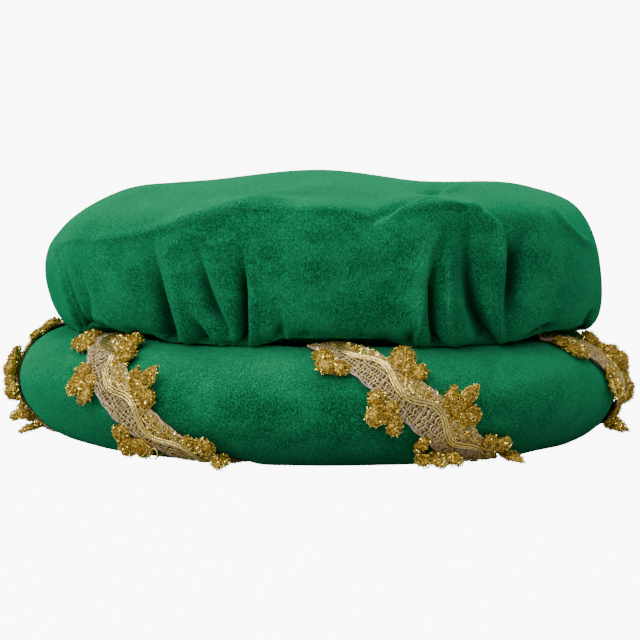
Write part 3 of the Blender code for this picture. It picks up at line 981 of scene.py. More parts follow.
# Folds of the crown's front, each with its widths and its route
CROWN_FRONT_FOLDS = (
    # ridge where the top turns down into the front
    PhotoFold(3.0, 6.0, ((60, 243, -0.4), (100, 239, -0.8), (143, 234, -1.2), (158, 230, -1.8),
              (177, 224, -2.0), (199, 220, -1.8), (225, 213.6, -1.6), (243, 208.5, -1.4),
              (270, 208, -1.2), (300, 209.7, -1.2), (345, 210.5, -1.2), (378, 220, -0.5))),
    PhotoFold(3.0, 6.0, ((388, 217, -0.5), (405, 210, -1.2), (430, 204.5, -1.8), (455, 204, -2.0),
              (470, 206, -2.2), (476, 208, -1.8))),
    # its right end, which runs down the front
    PhotoFold(7.0, 3.5, ((474, 207, -1.2), (490, 216, -1.8), (499, 226, -2.2), (505, 243, -2.6),
              (506, 270, -2.0), (504, 300, -0.8))),
    PhotoFold(4.0, 10.0, ((509, 232, 0.6), (512, 256, 2.6), (511, 290, 2.8), (508, 325, 1.0))),
    PhotoFold(8.0, 9.0, ((528, 224, 0.6), (521, 252, 2.2), (518, 280, 2.4), (517, 310, 1.0))),
    # soft ridges and valley of the top
    PhotoFold(6.0, 6.0, ((185, 221, -1.0), (215, 212, -2.2), (250, 202, -2.4), (290, 192, -2.0),
              (330, 184, -1.2))),
    PhotoFold(5.0, 5.0, ((376, 220, 1.6), (395, 208, 3.0), (415, 199, 2.6), (440, 189, 1.6))),
    PhotoFold(3.0, 4.0, ((400, 209, -0.8), (430, 197, -1.8), (462, 185, -1.2))),
    PhotoFold(2.0, 3.0, ((424, 194, 1.0), (442, 189, 1.6), (458, 183, 0.8))),
    # left front: valleys that dip in slowly and end in a sharp edge
    PhotoFold(15.0, 3.0, ((152, 238, 0.4), (154, 262, 2.4), (160, 290, 4.6), (168, 318, 5.6),
                          (176, 345, 4.4))),
    PhotoFold(3.0, 6.0, ((160, 240, -0.5), (165, 262, -1.2), (172, 290, -1.6), (180, 318, -1.6),
              (186, 342, -0.8))),
    PhotoFold(12.0, 5.0, ((193, 234, 0.6), (199, 262, 2.8), (206, 288, 5.2), (216, 312, 5.0),
                          (227, 333, 2.6))),
    PhotoFold(3.0, 5.0, ((205, 258, -0.3), (214, 284, -0.9), (226, 310, -0.9))),
    PhotoFold(8.0, 4.0, ((183, 304, 0.8), (190, 318, 2.8), (199, 332, 4.2), (208, 346, 4.0))),
    # narrow slit
    PhotoFold(6.5, 1.7, ((242, 250, 0.4), (243.5, 270, 3.0), (245, 290, 6.6), (246, 320, 8.0),
              (246.5, 350, 7.0))),
    PhotoFold(2.5, 7.0, ((251, 256, -0.4), (251, 290, -1.2), (251, 340, -1.0))),
    # small gathers at the foot of the smooth front
    PhotoFold(6.0, 4.0, ((281, 318, 0.4), (281, 332, 3.0), (281, 350, 4.4))),
    PhotoFold(5.0, 7.0, ((306, 330, 0.6), (305, 340, 3.0), (304, 350, 4.2))),
    PhotoFold(3.0, 3.0, ((331, 338, 0.5), (331, 350, 2.4))),
    PhotoFold(5.0, 5.0, ((362, 334, 0.6), (362, 342, 3.0), (362, 352, 4.0))),
    PhotoFold(3.0, 3.0, ((386, 338, 0.6), (387, 350, 2.6))),
    PhotoFold(6.0, 4.0, ((416, 326, 0.8), (412, 338, 3.8), (408, 350, 4.4))),
    # long fold that overlaps to the right, and the two deep valleys beside it
    PhotoFold(12.0, 1.8, ((444, 230, -0.5), (430, 252, -1.8), (425.5, 275, -2.2), (423, 305, -2.0),
                          (419, 334, -1.0))),
    PhotoFold(4.5, 6.0, ((446, 244, 0.6), (436, 264, 2.6), (433, 285, 5.0), (434, 310, 6.6),
              (436, 348, 6.4))),
    PhotoFold(5.0, 7.0, ((453, 238, -0.6), (449, 270, -1.4), (449, 310, -1.4), (451, 340, -0.8))),
    PhotoFold(12.0, 3.5, ((470, 212, 0.8), (470, 245, 2.0), (473, 280, 4.2), (480, 306, 7.4),
                          (490, 330, 8.6), (493, 350, 6.8))),
    PhotoFold(2.5, 6.0, ((487, 290, -0.4), (495, 315, -1.4), (500, 342, -1.2))),
    # right side
    PhotoFold(5.0, 7.0, ((541, 236, -0.4), (551, 255, -1.4), (555, 279, -1.6), (556, 304, -0.6))),
    PhotoFold(4.0, 3.0, ((541, 194, -0.8), (555, 211, -1.7), (567, 225, -2.0), (580, 237, -1.8),
              (596, 244, -0.6))),
    PhotoFold(7.0, 2.5, ((522, 343, 1.8), (537, 334, 4.0), (549, 326, 3.8), (562, 324, 0.8))),
    PhotoFold(3.0, 2.5, ((572, 338, 2.2), (584, 327, 3.6), (593, 313, 1.8))),
    # left side: thin nested folds, and the two that tuck under
    PhotoFold(2.6, 2.0, ((53, 250, 0.5), (66, 292, 2.4), (84, 336, 2.4))),
    PhotoFold(2.4, 2.6, ((59, 250, 0.5), (70, 284, 2.2), (80, 313, 2.8), (92, 337, 2.4))),
    PhotoFold(3.5, 2.5, ((80, 268, 0.5), (89, 298, 2.2), (92, 325, 2.6))),
    PhotoFold(5.0, 5.0, ((87, 260, -0.3), (97, 298, -1.3), (100, 316, -1.0))),
    PhotoFold(7.0, 1.8, ((96, 322, 2.0), (118, 333, 4.2), (143, 347, 3.8))),
    PhotoFold(2.0, 5.0, ((98, 316, -0.9), (120, 327, -1.6), (143, 338, -0.9))),
)

# Crown by direction, as shares of the crown's radius and of its rise over the roll's crest.
# direction, skirt_radius, belly_radius, belly_height, ridge_radius, ridge_height, cap_height
CROWN_SHAPE = (
    (-180.0, 0.920, 0.970, 0.42, 0.935, 0.64, 0.84),
    (-135.0, 0.910, 0.962, 0.46, 0.932, 0.580, 0.785),
    (-90.0, 0.903, 0.964, 0.50, 0.931, 0.592, 0.840),
    (-60.0, 0.909, 0.962, 0.46, 0.936, 0.592, 0.81),
    (-33.0, 0.920, 0.966, 0.40, 0.945, 0.60, 0.80),
    (-15.0, 0.915, 0.959, 0.36, 0.925, 0.73, 0.81),
    (0.0, 0.915, 0.952, 0.36, 0.910, 0.73, 0.81),
    (10.0, 0.915, 0.952, 0.36, 0.912, 0.69, 0.80),
    (22.0, 0.918, 0.960, 0.36, 0.920, 0.77, 0.83),
    (33.0, 0.925, 0.972, 0.38, 0.940, 0.71, 0.84),
    (45.0, 0.948, 0.984, 0.41, 0.944, 0.705, 0.86),
    (65.0, 0.960, 0.992, 0.44, 0.912, 0.770, 0.895),
    (90.0, 0.956, 0.994, 0.43, 0.902, 0.780, 0.900),
    (135.0, 0.935, 0.980, 0.43, 0.935, 0.68, 0.84),
)

# Folds of the crown's sides and back, which the photograph doesn't show.
# direction at the foot, half_width and lean in degrees, depth in mm, top as a share of the way up
CROWN_BACK_FOLDS = (
    (76.0, 4.0, 1.0, 4.0, 0.70),
    (88.0, 3.0, -2.0, 3.0, 0.50),
    (97.0, 5.0, -4.0, 8.0, 0.85),
    (105.0, 2.5, 2.0, 3.0, 0.45),
    (112.0, 4.5, 3.0, 6.5, 0.75),
    (121.0, 3.0, -1.0, 3.0, 0.50),
    (128.0, 5.5, -3.0, 9.0, 0.90),
    (137.0, 2.5, 2.0, 3.0, 0.40),
    (146.0, 5.0, 5.0, 7.0, 0.80),
    (155.0, 3.0, -2.0, 3.5, 0.55),
    (163.0, 4.5, -2.0, 9.5, 0.95),
    (172.0, 3.0, 3.0, 3.0, 0.45),
    (181.0, 5.5, 4.0, 6.0, 0.70),
    (190.0, 3.0, -1.0, 3.5, 0.50),
    (199.0, 4.5, -5.0, 9.0, 0.90),
    (207.0, 2.5, 1.0, 3.0, 0.40),
    (215.0, 5.0, 2.0, 7.0, 0.85),
    (224.0, 3.0, -2.0, 3.0, 0.50),
    (233.0, 4.5, -3.0, 8.0, 0.80),
    (242.0, 2.5, 2.0, 3.0, 0.45),
    (250.0, 5.5, 3.0, 6.5, 0.90),
    (259.0, 3.0, -1.0, 3.0, 0.45),
    (267.0, 4.5, 0.0, 6.0, 0.85),
)


@dataclass
class Crown:
    """The crown: one sheet of velvet, gathered into the top of the roll."""

    roll: RollForm
    braid: BraidForm
    view: PhotoView
    finishes: Finishes
    overhang: float = 0.021
    rise: float = 0.082
    cloth: float = 0.002
    gap: float = 0.0005
    skirt_height: float = 0.0012
    cap_radius: float = 0.1073
    inner_cap_radius: float = 0.057
    inner_cap_height: float = 0.0758
    hem: tuple[tuple[float, float], ...] = ((122.0, 0.0), (107.0, 0.3), (92.0, 0.9), (79.5, 1.0))
    tuck: float = 0.0018
    over_braid: float = 0.0040
    beside_braid: float = 0.0178
    ride_section: float = 76.0
    columns: int = 720
    inner_step: int = 3
    flat_width: float = 0.44
    gather_depth: float = 0.0012
    gather_rise: float = 0.17
    smooth_front: float = 2.0
    smooth_half_width: float = 16.0
    smoothed: float = 0.55
    broad_depth: float = 0.0006
    front_half_width: float = 62.0
    front_crowding: float = 1.6
    # Painted shade in the folds' valleys and painted highlight on their ridges, by the folds' depth in
    # metres
    painted_fold_shade: float = 0.90
    painted_fold_shade_depths: tuple[float, float] = (0.0005, 0.0052)
    painted_ridge_highlight: float = 0.40
    painted_ridge_highlight_depths: tuple[float, float] = (0.0004, 0.0021)

    @property
    def radius(self) -> float:
        """The crown's radius, which its shares are of."""
        return self.roll.ring_radius + self.overhang

    def build(self) -> Object:
        """Makes and dresses the crown."""
        directions, rows = self.directions(), self.rows()
        base = self.base(directions, rows)
        normals = self.normals(base)
        depth = self.fold_depth(directions, rows, base, normals)
        outer = base - normals * depth[..., None]
        inner = self.inside(base, normals, depth)
        obj = self.shell(outer, inner)
        # Painted shade in the folds' valleys and a painted highlight on their ridges
        for name, value in (
            ("painted_shade", self.painted_fold_shade * ease(depth, *self.painted_fold_shade_depths)),
            ("painted_highlight", self.painted_ridge_highlight * ease(-depth, *self.painted_ridge_highlight_depths)),
        ):
            shares = np.zeros(len(obj.data.vertices))
            shares[: depth.size] = value.reshape(-1)
            set_attribute(obj, name, shares)
        obj.data.materials.append(self.finishes.crown)
        obj.data.shade_smooth()
        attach(obj, BODY)
        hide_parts("crown")
        return obj

    def directions(self) -> Array:
        """Directions of the grid's columns, which lie closer together at the front."""
        even = np.linspace(-180.0, 180.0, 2001)
        crowd = 1.0 + self.front_crowding * np.exp(-((even / self.front_half_width) ** 4))
        share = np.concatenate([[0.0], np.cumsum((crowd[1:] + crowd[:-1]) / 2)])
        wanted = np.arange(self.columns) / self.columns * share[-1]
        return np.interp(wanted, share, even)

    def rows(self) -> Array:
        """Places of the grid's rows along the profile, from spans with an end, an end and a count."""
        spans = ((0, 3, 4), (3, 4, 8), (4, 6, 46), (6, 7, 26), (7, 8, 18), (8, 8.97, 12))
        return np.concatenate([np.linspace(a, b, n, endpoint=False) for a, b, n in spans])

    def shape(self, direction: Array) -> list[Array]:
        """The crown's measures by direction, as in the columns of CROWN_SHAPE after the first."""
        table = np.array(CROWN_SHAPE[-1:] + CROWN_SHAPE + CROWN_SHAPE[:2])
        table[0, 0] -= 360.0
        table[-2:, 0] += 360.0
        at = turn_between(direction, 0.0)
        return [smooth_through(table[:, 0], table[:, i], at) for i in range(1, table.shape[1])]

    def ride(self, direction: Array) -> Array:
        """How far the crown's foot rides up over the upper ends of the braid."""
        half_width = (self.braid.width + self.beside_braid) / self.roll.steps(np.array(87.0))[0]
        near = np.zeros_like(direction)
        for wrap in range(len(self.braid.directions)):
            turn = turn_between(direction, self.braid.middle(wrap, np.array(self.ride_section)))
            near = np.maximum(near, bump(turn, half_width))
        return self.over_braid * np.minimum(1.0, 2.5 * near)

    def profile(self, direction: Array) -> tuple[Array, Array]:
        """Radii and heights of the profile's points in each direction, from the tucked hem up."""
        skirt, belly, belly_height, ridge, ridge_height, cap_height = self.shape(direction)
        lift = self.ride(direction)
        radii, heights = [], []
        for angle, share in self.hem:
            above = self.gap + share * lift - (0.0 if radii else self.tuck)
            point = self.roll.at(np.zeros_like(direction), np.array(angle), above)[0]
            radii.append(-point[:, 1])
            heights.append(point[:, 2])
        radii.append(skirt * self.radius)
        heights.append(heights[-1] + self.skirt_height)
        one = np.ones_like(direction)
        for radius, height in (
            (belly * self.radius, belly_height * self.rise),
            (ridge * self.radius, ridge_height * self.rise),
            (self.cap_radius * one, cap_height * self.rise),
            (self.inner_cap_radius * one, self.inner_cap_height * one),
            (0.0 * one, self.rise * one),
            (-self.inner_cap_radius * one, self.inner_cap_height * one),
        ):
            radii.append(radius)
            heights.append(self.roll.crest_height + height)
        return np.stack(radii), np.stack(heights)

    def base(self, directions: Array, rows: Array) -> Array:
        """Points of the crown without its folds, by row and direction."""
        radii, heights = self.profile(directions)
        i = np.minimum(rows.astype(int), len(radii) - 2)
        t = (rows - i)[:, None]
        straight = (i < 4)[:, None]
        lengths = np.hypot(np.diff(radii, axis=0), np.diff(heights, axis=0))
        before, here = lengths[:-1], lengths[1:]
        read = []
        for values in (radii, heights):
            a, b = values[i], values[i + 1]
            slopes = np.diff(values, axis=0) / lengths
            middle = (slopes[:-1] * here + slopes[1:] * before) / (before + here)
            slopes = np.concatenate([slopes[:1], middle, slopes[-1:]])
            start, end = slopes[i] * lengths[i], slopes[i + 1] * lengths[i]
            read.append(np.where(straight, a + (b - a) * t, cubic(t, a, b, start, end)))
        return around(directions[None, :], read[0], read[1])

    def normals(self, points: Array) -> Array:
        """Outward normals of a grid of points, by row and direction."""
        along = np.roll(points, -1, axis=1) - np.roll(points, 1, axis=1)
        up = np.gradient(points, axis=0)
        return unit(np.cross(along, up))

    def fold_depth(self, directions: Array, rows: Array, base: Array, normals: Array) -> Array:
        """How far the folds push the cloth in, in metres, by row and direction."""
        direction, row = np.broadcast_arrays(directions[None, :], rows[:, None])
        up = (row - FOOT_ROW) / (RIDGE_ROW - FOOT_ROW)
        above = ease(up, 0.0, 0.12)
        depth = np.zeros(direction.shape)
        for at, half_width, lean, deep, top in CROWN_BACK_FOLDS:
            fade = np.sqrt(np.clip(1 - up / top, 0.0, 1.0))
            depth += deep * bump(turn_between(direction, at + lean * up), half_width) * fade
        depth *= above
        seen = (normals * unit(self.view.eye - base)).sum(axis=-1)
        shown = ease(seen, 0.02, 0.22) * ease(up, 0.0, 0.06)
        pixels = self.view.pixels(base)
        for fold in CROWN_FRONT_FOLDS:
            depth += fold.depth(pixels) * shown
        depth *= MM
        gathers = waves(direction, 11, 55, 110, 9) + 0.6 * waves(direction, 12, 20, 45, 5)
        from_front = turn_between(direction, self.smooth_front)
        uneven = 1.0 - self.smoothed * bump(from_front, self.smooth_half_width)
        at_foot = ease(up, 0.0, 0.05) * np.exp(-np.maximum(up, 0.0) / self.gather_rise)
        depth += self.gather_depth * gathers * at_foot * uneven
        broad = waves(direction + 12 * up, 21, 7, 16, 5)
        depth += self.broad_depth * broad * ease(up, 0.05, 0.5) * (1.0 - ease(row, 6.5, CALM_ROW))
        return np.where(row < FOOT_ROW, 0.0, depth)

    def inside(self, base: Array, normals: Array, depth: Array) -> Array:
        """Some points of the cloth's inner face, behind the deepest of the folds near each."""
        deepest = depth
        for shift in range(-self.inner_step, self.inner_step + 1):
            deepest = np.maximum(deepest, np.roll(depth, shift, axis=1))
        for _ in range(self.inner_step - 1):
            below, above = np.roll(deepest, 1, axis=0), np.roll(deepest, -1, axis=0)
            below[0], above[-1] = deepest[0], deepest[-1]
            deepest = np.maximum(deepest, np.maximum(below, above))
        face = base - normals * (deepest + self.cloth)[..., None]
        return face[:: self.inner_step, :: self.inner_step]

    def shell(self, outer: Array, inner: Array) -> Object:
        """Joins the cloth's outer and inner face at the hem, and closes both over the top."""
        rows, columns = outer.shape[:2]
        inner_rows, inner_columns = inner.shape[:2]
        first = rows * columns
        points = np.concatenate([outer.reshape(-1, 3), inner.reshape(-1, 3)])
        faces = list(grid_faces(rows, columns))
        faces += [face[::-1] for face in grid_faces(inner_rows, inner_columns, first)]
        for i in range(inner_columns):
            for k in range(i * self.inner_step, (i + 1) * self.inner_step):
                faces.append(((k + 1) % columns, k, first + i))
            corner = (i + 1) * self.inner_step % columns
            faces.append((corner, first + i, first + (i + 1) % inner_columns))
        for face_points, start, step in ((outer, 0, 1), (inner, first, -1)):
            count = face_points.shape[1]
            start += (face_points.shape[0] - 1) * count
            for i in range(count):
                faces.append((start + i, start + (i + 1) % count, len(points))[::step])
            points = np.concatenate([points, face_points[-1].mean(axis=0)[None, :]])
        return new_object("velvet_crown", points, faces)


# Braid


class PetalKind(Enum):
    """Outlines of the braid's petals."""

    ROUND = "round"
    LEAF = "leaf"


@dataclass(frozen=True)
class Petal:
    """One petal of a flower motif, in millimetres and degrees.

    along and out are its middle's distances from the motif's middle on the band's edge: along the
    band towards its upper end, and out from the band. turn is where it points: 0 along, 90 out.
    A petal with a rim has a bright thread round its edge.
    """

    kind: PetalKind
    along: float
    out: float
    turn: float
    length: float
    width: float
    height: float = 3.0
    rim: bool = False

    def outline(self, angles: Array) -> tuple[Array, Array]:
        """Metres along and across the petal, from its middle, round its edge."""
        c, s = np.cos(angles), np.sin(angles)
        narrow = np.ones_like(c)
        if self.kind is PetalKind.LEAF:
            narrow = np.where(c > 0, 1 - 0.72 * np.maximum(c, 0) ** 2.2, 1 - 0.25 * c**2)
        return c * self.length / 2 * MM, s * self.width / 2 * narrow * MM


ROUND, LEAF = PetalKind.ROUND, PetalKind.LEAF
HEAP = (
    Petal(ROUND, 6.0, 1.5, 60.0, 9.0, 8.0, 3.0),
    Petal(ROUND, 0.0, 4.5, 95.0, 10.5, 10.0, 3.4),
    Petal(ROUND, -4.5, 1.8, 120.0, 9.0, 8.0, 3.0),
)
PAIR = (
    Petal(ROUND, 3.4, 3.8, 70.0, 11.5, 10.5, 3.8),
    Petal(ROUND, -6.2, 2.0, 120.0, 8.5, 7.5, 3.2),
    Petal(ROUND, -1.5, 0.5, 90.0, 8.0, 7.0, 3.0),
)
CLOVER = (
    Petal(ROUND, 6.0, 1.2, 60.0, 8.5, 8.0, 3.2),
    Petal(ROUND, 1.8, 5.8, 95.0, 12.0, 9.0, 3.6, rim=True),
    Petal(ROUND, -6.8, 4.6, 112.0, 8.5, 6.5, 3.0),
    Petal(ROUND, -1.5, 1.0, 90.0, 9.0, 7.5, 3.0),
)
SPRIG = (
    Petal(LEAF, 5.2, 2.6, 58.0, 11.0, 5.8, 2.8),
    Petal(LEAF, 0.1, 7.9, 92.0, 13.0, 6.4, 2.8, rim=True),
    Petal(ROUND, -6.0, 1.8, 120.0, 10.0, 8.5, 3.4),
    Petal(ROUND, -0.5, 1.2, 90.0, 9.5, 7.5, 3.2),
)
BUD = (
    Petal(LEAF, 2.0, 1.6, 92.0, 9.5, 5.8, 2.8),
)
LOW_SPRAY = (
    Petal(LEAF, -12.0, 6.0, 118.0, 11.0, 6.2, 2.8),
    Petal(LEAF, -5.5, 7.0, 96.0, 12.0, 6.8, 3.0),
    Petal(ROUND, 2.0, 7.0, 80.0, 8.5, 8.0, 3.0),
)
TWO_BUDS = (
    Petal(ROUND, 4.0, 1.2, 70.0, 7.0, 6.5, 3.0),
    Petal(ROUND, -2.5, 4.6, 95.0, 9.0, 8.5, 3.4),
)
LOW_LEAF = (
    Petal(LEAF, 4.0, 6.5, 74.0, 13.0, 7.0, 3.0),
)
TREFOIL = (
    Petal(ROUND, 5.0, 2.2, 60.0, 9.0, 8.0, 3.0),
    Petal(ROUND, -0.5, 6.6, 95.0, 11.0, 9.5, 3.4),
    Petal(ROUND, -6.5, 2.6, 125.0, 9.5, 8.5, 3.0),
)
TALL = (
    Petal(ROUND, 4.5, 1.5, 60.0, 9.5, 8.0, 5.2),
    Petal(ROUND, -3.5, 2.8, 100.0, 10.5, 8.5, 6.0),
)

# Flower motifs along a wrap: section angle of the band's middle, side (1 is uphill), petals
MOTIFS = (
    (62.0, -1, HEAP),
    (29.0, 1, PAIR),
    (22.0, -1, CLOVER),
    (-12.0, 1, SPRIG),
    (-12.0, -1, BUD),
    (-30.0, -1, LOW_SPRAY),
    (-47.0, 1, TWO_BUDS),
    (-60.0, 1, LOW_LEAF),
)

# Motifs that single wraps have as well, and section angle and side of those that they lack
EXTRA_MOTIFS = {
    0: ((14.0, -1, TALL), (-8.0, 1, TALL), (-26.0, 1, TALL)),
    1: ((-13.0, -1, TREFOIL),),
    3: ((12.0, 1, TALL), (-26.0, 1, TALL)),
}
MISSING_MOTIFS = {1: ((-12.0, -1), (-30.0, -1))}

# Degrees that each wrap's upper motifs lie further up than in the table
MOTIF_SHIFTS = (8.0, 11.0, 0.0, 4.0, -6.0, 9.0, 3.0)


@dataclass
class MotifFrame:
    """The place where one flower motif stands out from the edge of its band."""

    braid: BraidForm
    wrap: int
    section: float
    side: int
    rise: float = 0.00125
    lift: float = 0.14
    low_angle: float = -42.0
    low_slope: float = 0.2
    pressed_angle: float = 35.0
    neck_angle: float = 92.0

    def __post_init__(self) -> None:
        """Works out the frame's base, axes and pressing."""
        section = np.array(self.section)
        self.edge = self.side * self.braid.width / 2
        place = self.braid.place(self.wrap, section, self.edge)
        self.base, self.normal = self.braid.roll.at(*place)
        ahead = self.braid.roll.at(*self.braid.place(self.wrap, section + 1.0, self.edge))[0]
        self.step = float(np.linalg.norm(ahead - self.base))
        self.along = unit(ahead - self.base)
        self.outward = unit(self.side * np.cross(self.along, self.normal))
        self.pressed = 0.0
        self.low = bool(place[1] < self.low_angle)
        if self.low:
            self.base = self.base + self.normal * (self.braid.gap + 0.0012)
            self.normal = np.array([0.0, 0.0, 1.0])
            self.outward = unit(self.base * np.array([1.0, 1.0, 0.0]))
            self.along = np.cross(self.normal, self.outward)
        elif place[1] > self.pressed_angle:
            run = self.neck_angle - self.pressed_angle
            self.pressed = float(min(1.0, (place[1] - self.pressed_angle) / run * 2))

    def at(self, along: Array, out: Array, height: Array) -> Array:
        """Points of the motif.

        Args:
            along: metres along the band from the motif's middle.
            out: metres out from the band's edge.
            height: metres over the motif's underside.

        Returns:
            The points, never below the ground.
        """
        slope = -self.low_slope if self.low else self.lift
        rise = 0.0 if self.low else self.rise
        over = height + rise + slope * np.maximum(0.0, out)
        parts = ((along, self.along), (out, self.outward), (over, self.normal))
        points = self.base + sum(value[..., None] * axis for value, axis in parts)
        if self.pressed:
            section = self.section + along / self.step
            place = self.braid.place(self.wrap, section, self.edge + self.side * out)
            lying = self.braid.roll.at(*place, rise + height)[0]
            points = points + (lying - points) * self.pressed
        points[..., 2] = np.maximum(points[..., 2], GROUND + np.minimum(height, 0.0012) * 0.8)
        return points


@dataclass
class ThreadLines:
    """Lines that become threads of one radius and one material."""

    radius: float
    sides: int
    material: Material
    points: list[Array] = field(default_factory=list)

    def add(self, line: Array) -> None:
        """Adds one line of points."""
        self.points.append(line)

    def build(self, name: str, tree: GrowthTree) -> Object:
        """Turns the lines into threads.

        Args:
            name: the new object's name.
            tree: the tree that makes threads.

        Returns:
            The threads as one object.
        """
        edges, start = [], 0
        for line in self.points:
            edges += [(start + i, start + i + 1) for i in range(len(line) - 1)]
            start += len(line)
        obj = new_object(name, np.concatenate(self.points), [], edges)
        tree.grow(obj, {"Radius": self.radius, "Sides": self.sides, "Material": self.material})
        return obj


@dataclass(frozen=True)
class LooseLoop:
    """The loop of thread that has come loose from the foot of one wrap, and stands up beside it."""

    wrap: int = 1
    section: float = -36.0
    side: int = -1
    reach: float = 0.0085
    width: float = 0.0036
    height: float = 0.0050
    over_band: float = 0.0008

    def line(self, braid: BraidForm) -> Array:
        """Points along the loop, from the edge of the band and back."""
        motif = MotifFrame(braid, self.wrap, self.section, self.side)
        turn = np.linspace(0.0, 1.85 * math.pi, 16)
        along = np.concatenate([[0.0, 0.0], self.width / 2 * np.sin(turn)])
        out = np.concatenate([[-0.001, self.reach / 2], self.reach + 0.0003 * turn])
        height = np.concatenate([[0.0, 0.0], self.height / 2 * (1 - np.cos(turn))])
        return motif.at(along, out, self.over_band + height)


@dataclass
class BraidWrap:
    """One wrap of the braid: its woven ground, net, gimp and flowers."""

    braid: BraidForm
    number: int
    finishes: Finishes
    threads: GrowthTree
    curls: GrowthTree
    ground_thickness: float = 0.0006
    net_height: float = 0.0012
    gimp_height: float = 0.0019
    gimp_radius: float = 0.00052
    gimp_spacing: float = 0.00108
    gimp_period: float = 0.030
    gimp_swing: float = 0.0029
    gimp_middle: float = 0.0013
    seed: int = 100
    rung_step: float = 0.00125
    rung_radius: float = 0.00036
    edge_radius: float = 0.00042
    warp_radius: float = 0.00028
    warp_across: tuple[float, ...] = (-0.0062, -0.0042, -0.0022, 0.0002, 0.0024, 0.0046, 0.0064)
    rim_radius: float = 0.00032
    rim_height: float = 0.42
    petal_sizes: tuple[float, float] = (0.94, 1.1)
    petal_turn: float = 8.0
    petal_edge: float = 0.35
    petal_lumps: float = 0.09
    curl_density: float = 0.70e6
    curl_radius: float = 0.00092
    curl_thread_radius: float = 0.00024
    curl_lean: float = 0.95
    curl_seed: int = 7
    loops_height: float = 0.0004
    loops_share: float = 0.75
    loose_loop: LooseLoop = LooseLoop()

    def build(self) -> Object:
        """Makes and dresses the wrap."""
        self.random = np.random.default_rng(self.seed + self.number)
        self.lengths, self.sections = self.braid.route(self.number)
        parts = [self.woven_ground(), *self.net(), self.gimp(), *self.flowers()]
        obj = joined(f"gold_braid_{self.number + 1}", parts)
        points = points_of(obj.data)
        points[:, 2] = np.maximum(points[:, 2], GROUND)
        move_points(obj, points)
        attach(obj, BODY)
        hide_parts(f"braid_wrap_{self.number + 1}")
        return obj

    @property
    def length(self) -> float:
        """Length of the wrap."""
        return float(self.lengths[-1])

    def on(self, along: Array, across: Array, height: Array) -> Array:
        """Points on the wrap by metres along it, across it and over its inner face."""
        section = np.interp(along, self.lengths, self.sections)
        return self.braid.on(self.number, section, across, height)

    def gimp_across(self, along: Array) -> Array:
        """Where the wavy gimp runs: metres from the band's middle to its uphill side."""
        crest = np.interp(42.0, self.sections, self.lengths)
        wave = np.cos(2 * math.pi * (along - crest) / self.gimp_period)
        return self.gimp_middle + self.gimp_swing * wave

    def strip(self, along: Array, across: Array, low: float, high: float) -> tuple[Array, list]:
        """A closed strip that lies on the wrap.

        Args:
            along: metres along the wrap, a value for each row of the strip's points.
            across: metres across the wrap, by row and column of the strip's points.
            low: height of its underside.
            high: height of its top.

        Returns:
            Its points, by row, with the underside's before the top's, and its faces.
        """
        rows, columns = across.shape
        under, over = (
            self.on(np.broadcast_to(along[:, None], across.shape), across, np.full(across.shape, height))
            for height in (low, high)
        )
        rings = np.concatenate([under, over[:, ::-1]], axis=1)
        count = 2 * columns
        faces = [face[::-1] for face in grid_faces(rows, count)]
        faces.append(tuple(range(count)))
        faces.append(tuple(range((rows - 1) * count, rows * count))[::-1])
        return rings.reshape(-1, 3), faces

    def woven_ground(self) -> Object:
        """The dark ground of the band, as a thin closed strip."""
        half = self.braid.width / 2 - 0.0006
        along = np.linspace(0.0, self.length, 110)
        across = np.tile(np.linspace(-half, half, 8), (110, 1))
        points, faces = self.strip(along, across, -0.0005, self.ground_thickness)
        obj = new_object(f"braid_ground_{self.number + 1}", points, faces)
        obj.data.materials.append(self.finishes.ground)
        obj.data.shade_smooth()
        return obj

    def net(self) -> list[Object]:
        """The band's threads: two rose grey ones on each edge, seven along it and rungs across it."""
        half = self.braid.width / 2
        rose, pale = self.finishes.rose, self.finishes.pale
        edges, warp = ThreadLines(self.edge_radius, 4, rose), ThreadLines(self.warp_radius, 3, pale)
        rungs = [ThreadLines(self.rung_radius, 3, material) for material in (rose, pale)]
        along = np.linspace(0.0, self.length, 150)
        for side in (-1, 1):
            for inset in (0.0003, 0.0012):
                wander = 0.00025 * np.sin(along / 0.0011 + self.random.uniform(0, 6))
                height = self.net_height * 0.75 + 0.0002 * np.cos(along / 0.0016)
                edges.add(self.on(along, side * (half - inset) + wander, height))
        for across in self.warp_across:
            phase = self.random.uniform(0, 6)
            wander = 0.0004 * np.sin(along / 0.0021 + phase)
            height = self.net_height + 0.00028 * np.cos(along / 0.00095 + phase)
            warp.add(self.on(along, across + wander, height))
        across = np.linspace(-half + 0.0004, half - 0.0004, 10)
        for number, start in enumerate(np.arange(0.0008, self.length - 0.0008, self.rung_step)):
            zigzag = 0.00045 * np.where(np.arange(10) % 2, 1.0, -1.0) * self.random.uniform(0.4, 1.2)
            drift = self.random.uniform(-0.0004, 0.0004)
            height = self.net_height * 0.85 + 0.0003 * self.random.uniform(-1, 1, 10)
            place = np.clip(start + zigzag + drift, 0.0, self.length)
            rungs[number % 2].add(self.on(place, across, height))
        named = (("edge", edges), ("warp", warp), ("rose_rungs", rungs[0]), ("gold_rungs", rungs[1]))
        return [lines.build(f"braid_{name}_{self.number + 1}", self.threads) for name, lines in named]

    def gimp(self) -> Object:
        """The wavy gimp: three smooth pale gold threads side by side."""
        lines = ThreadLines(self.gimp_radius, 6, self.finishes.gimp)
        along = np.linspace(0.0, self.length, 220)
        middle = self.gimp_across(along)
        slope = np.gradient(middle, along)
        stretch = np.sqrt(1 + slope**2)
        for strand in (-1, 0, 1):
            apart = strand * self.gimp_spacing
            place = np.clip(along - apart * slope / stretch, 0.0, self.length)
            height = np.full(along.shape, self.gimp_height - 0.0002 * abs(strand))
            lines.add(self.on(place, middle + apart / stretch, height))
        return lines.build(f"braid_gimp_{self.number + 1}", self.threads)

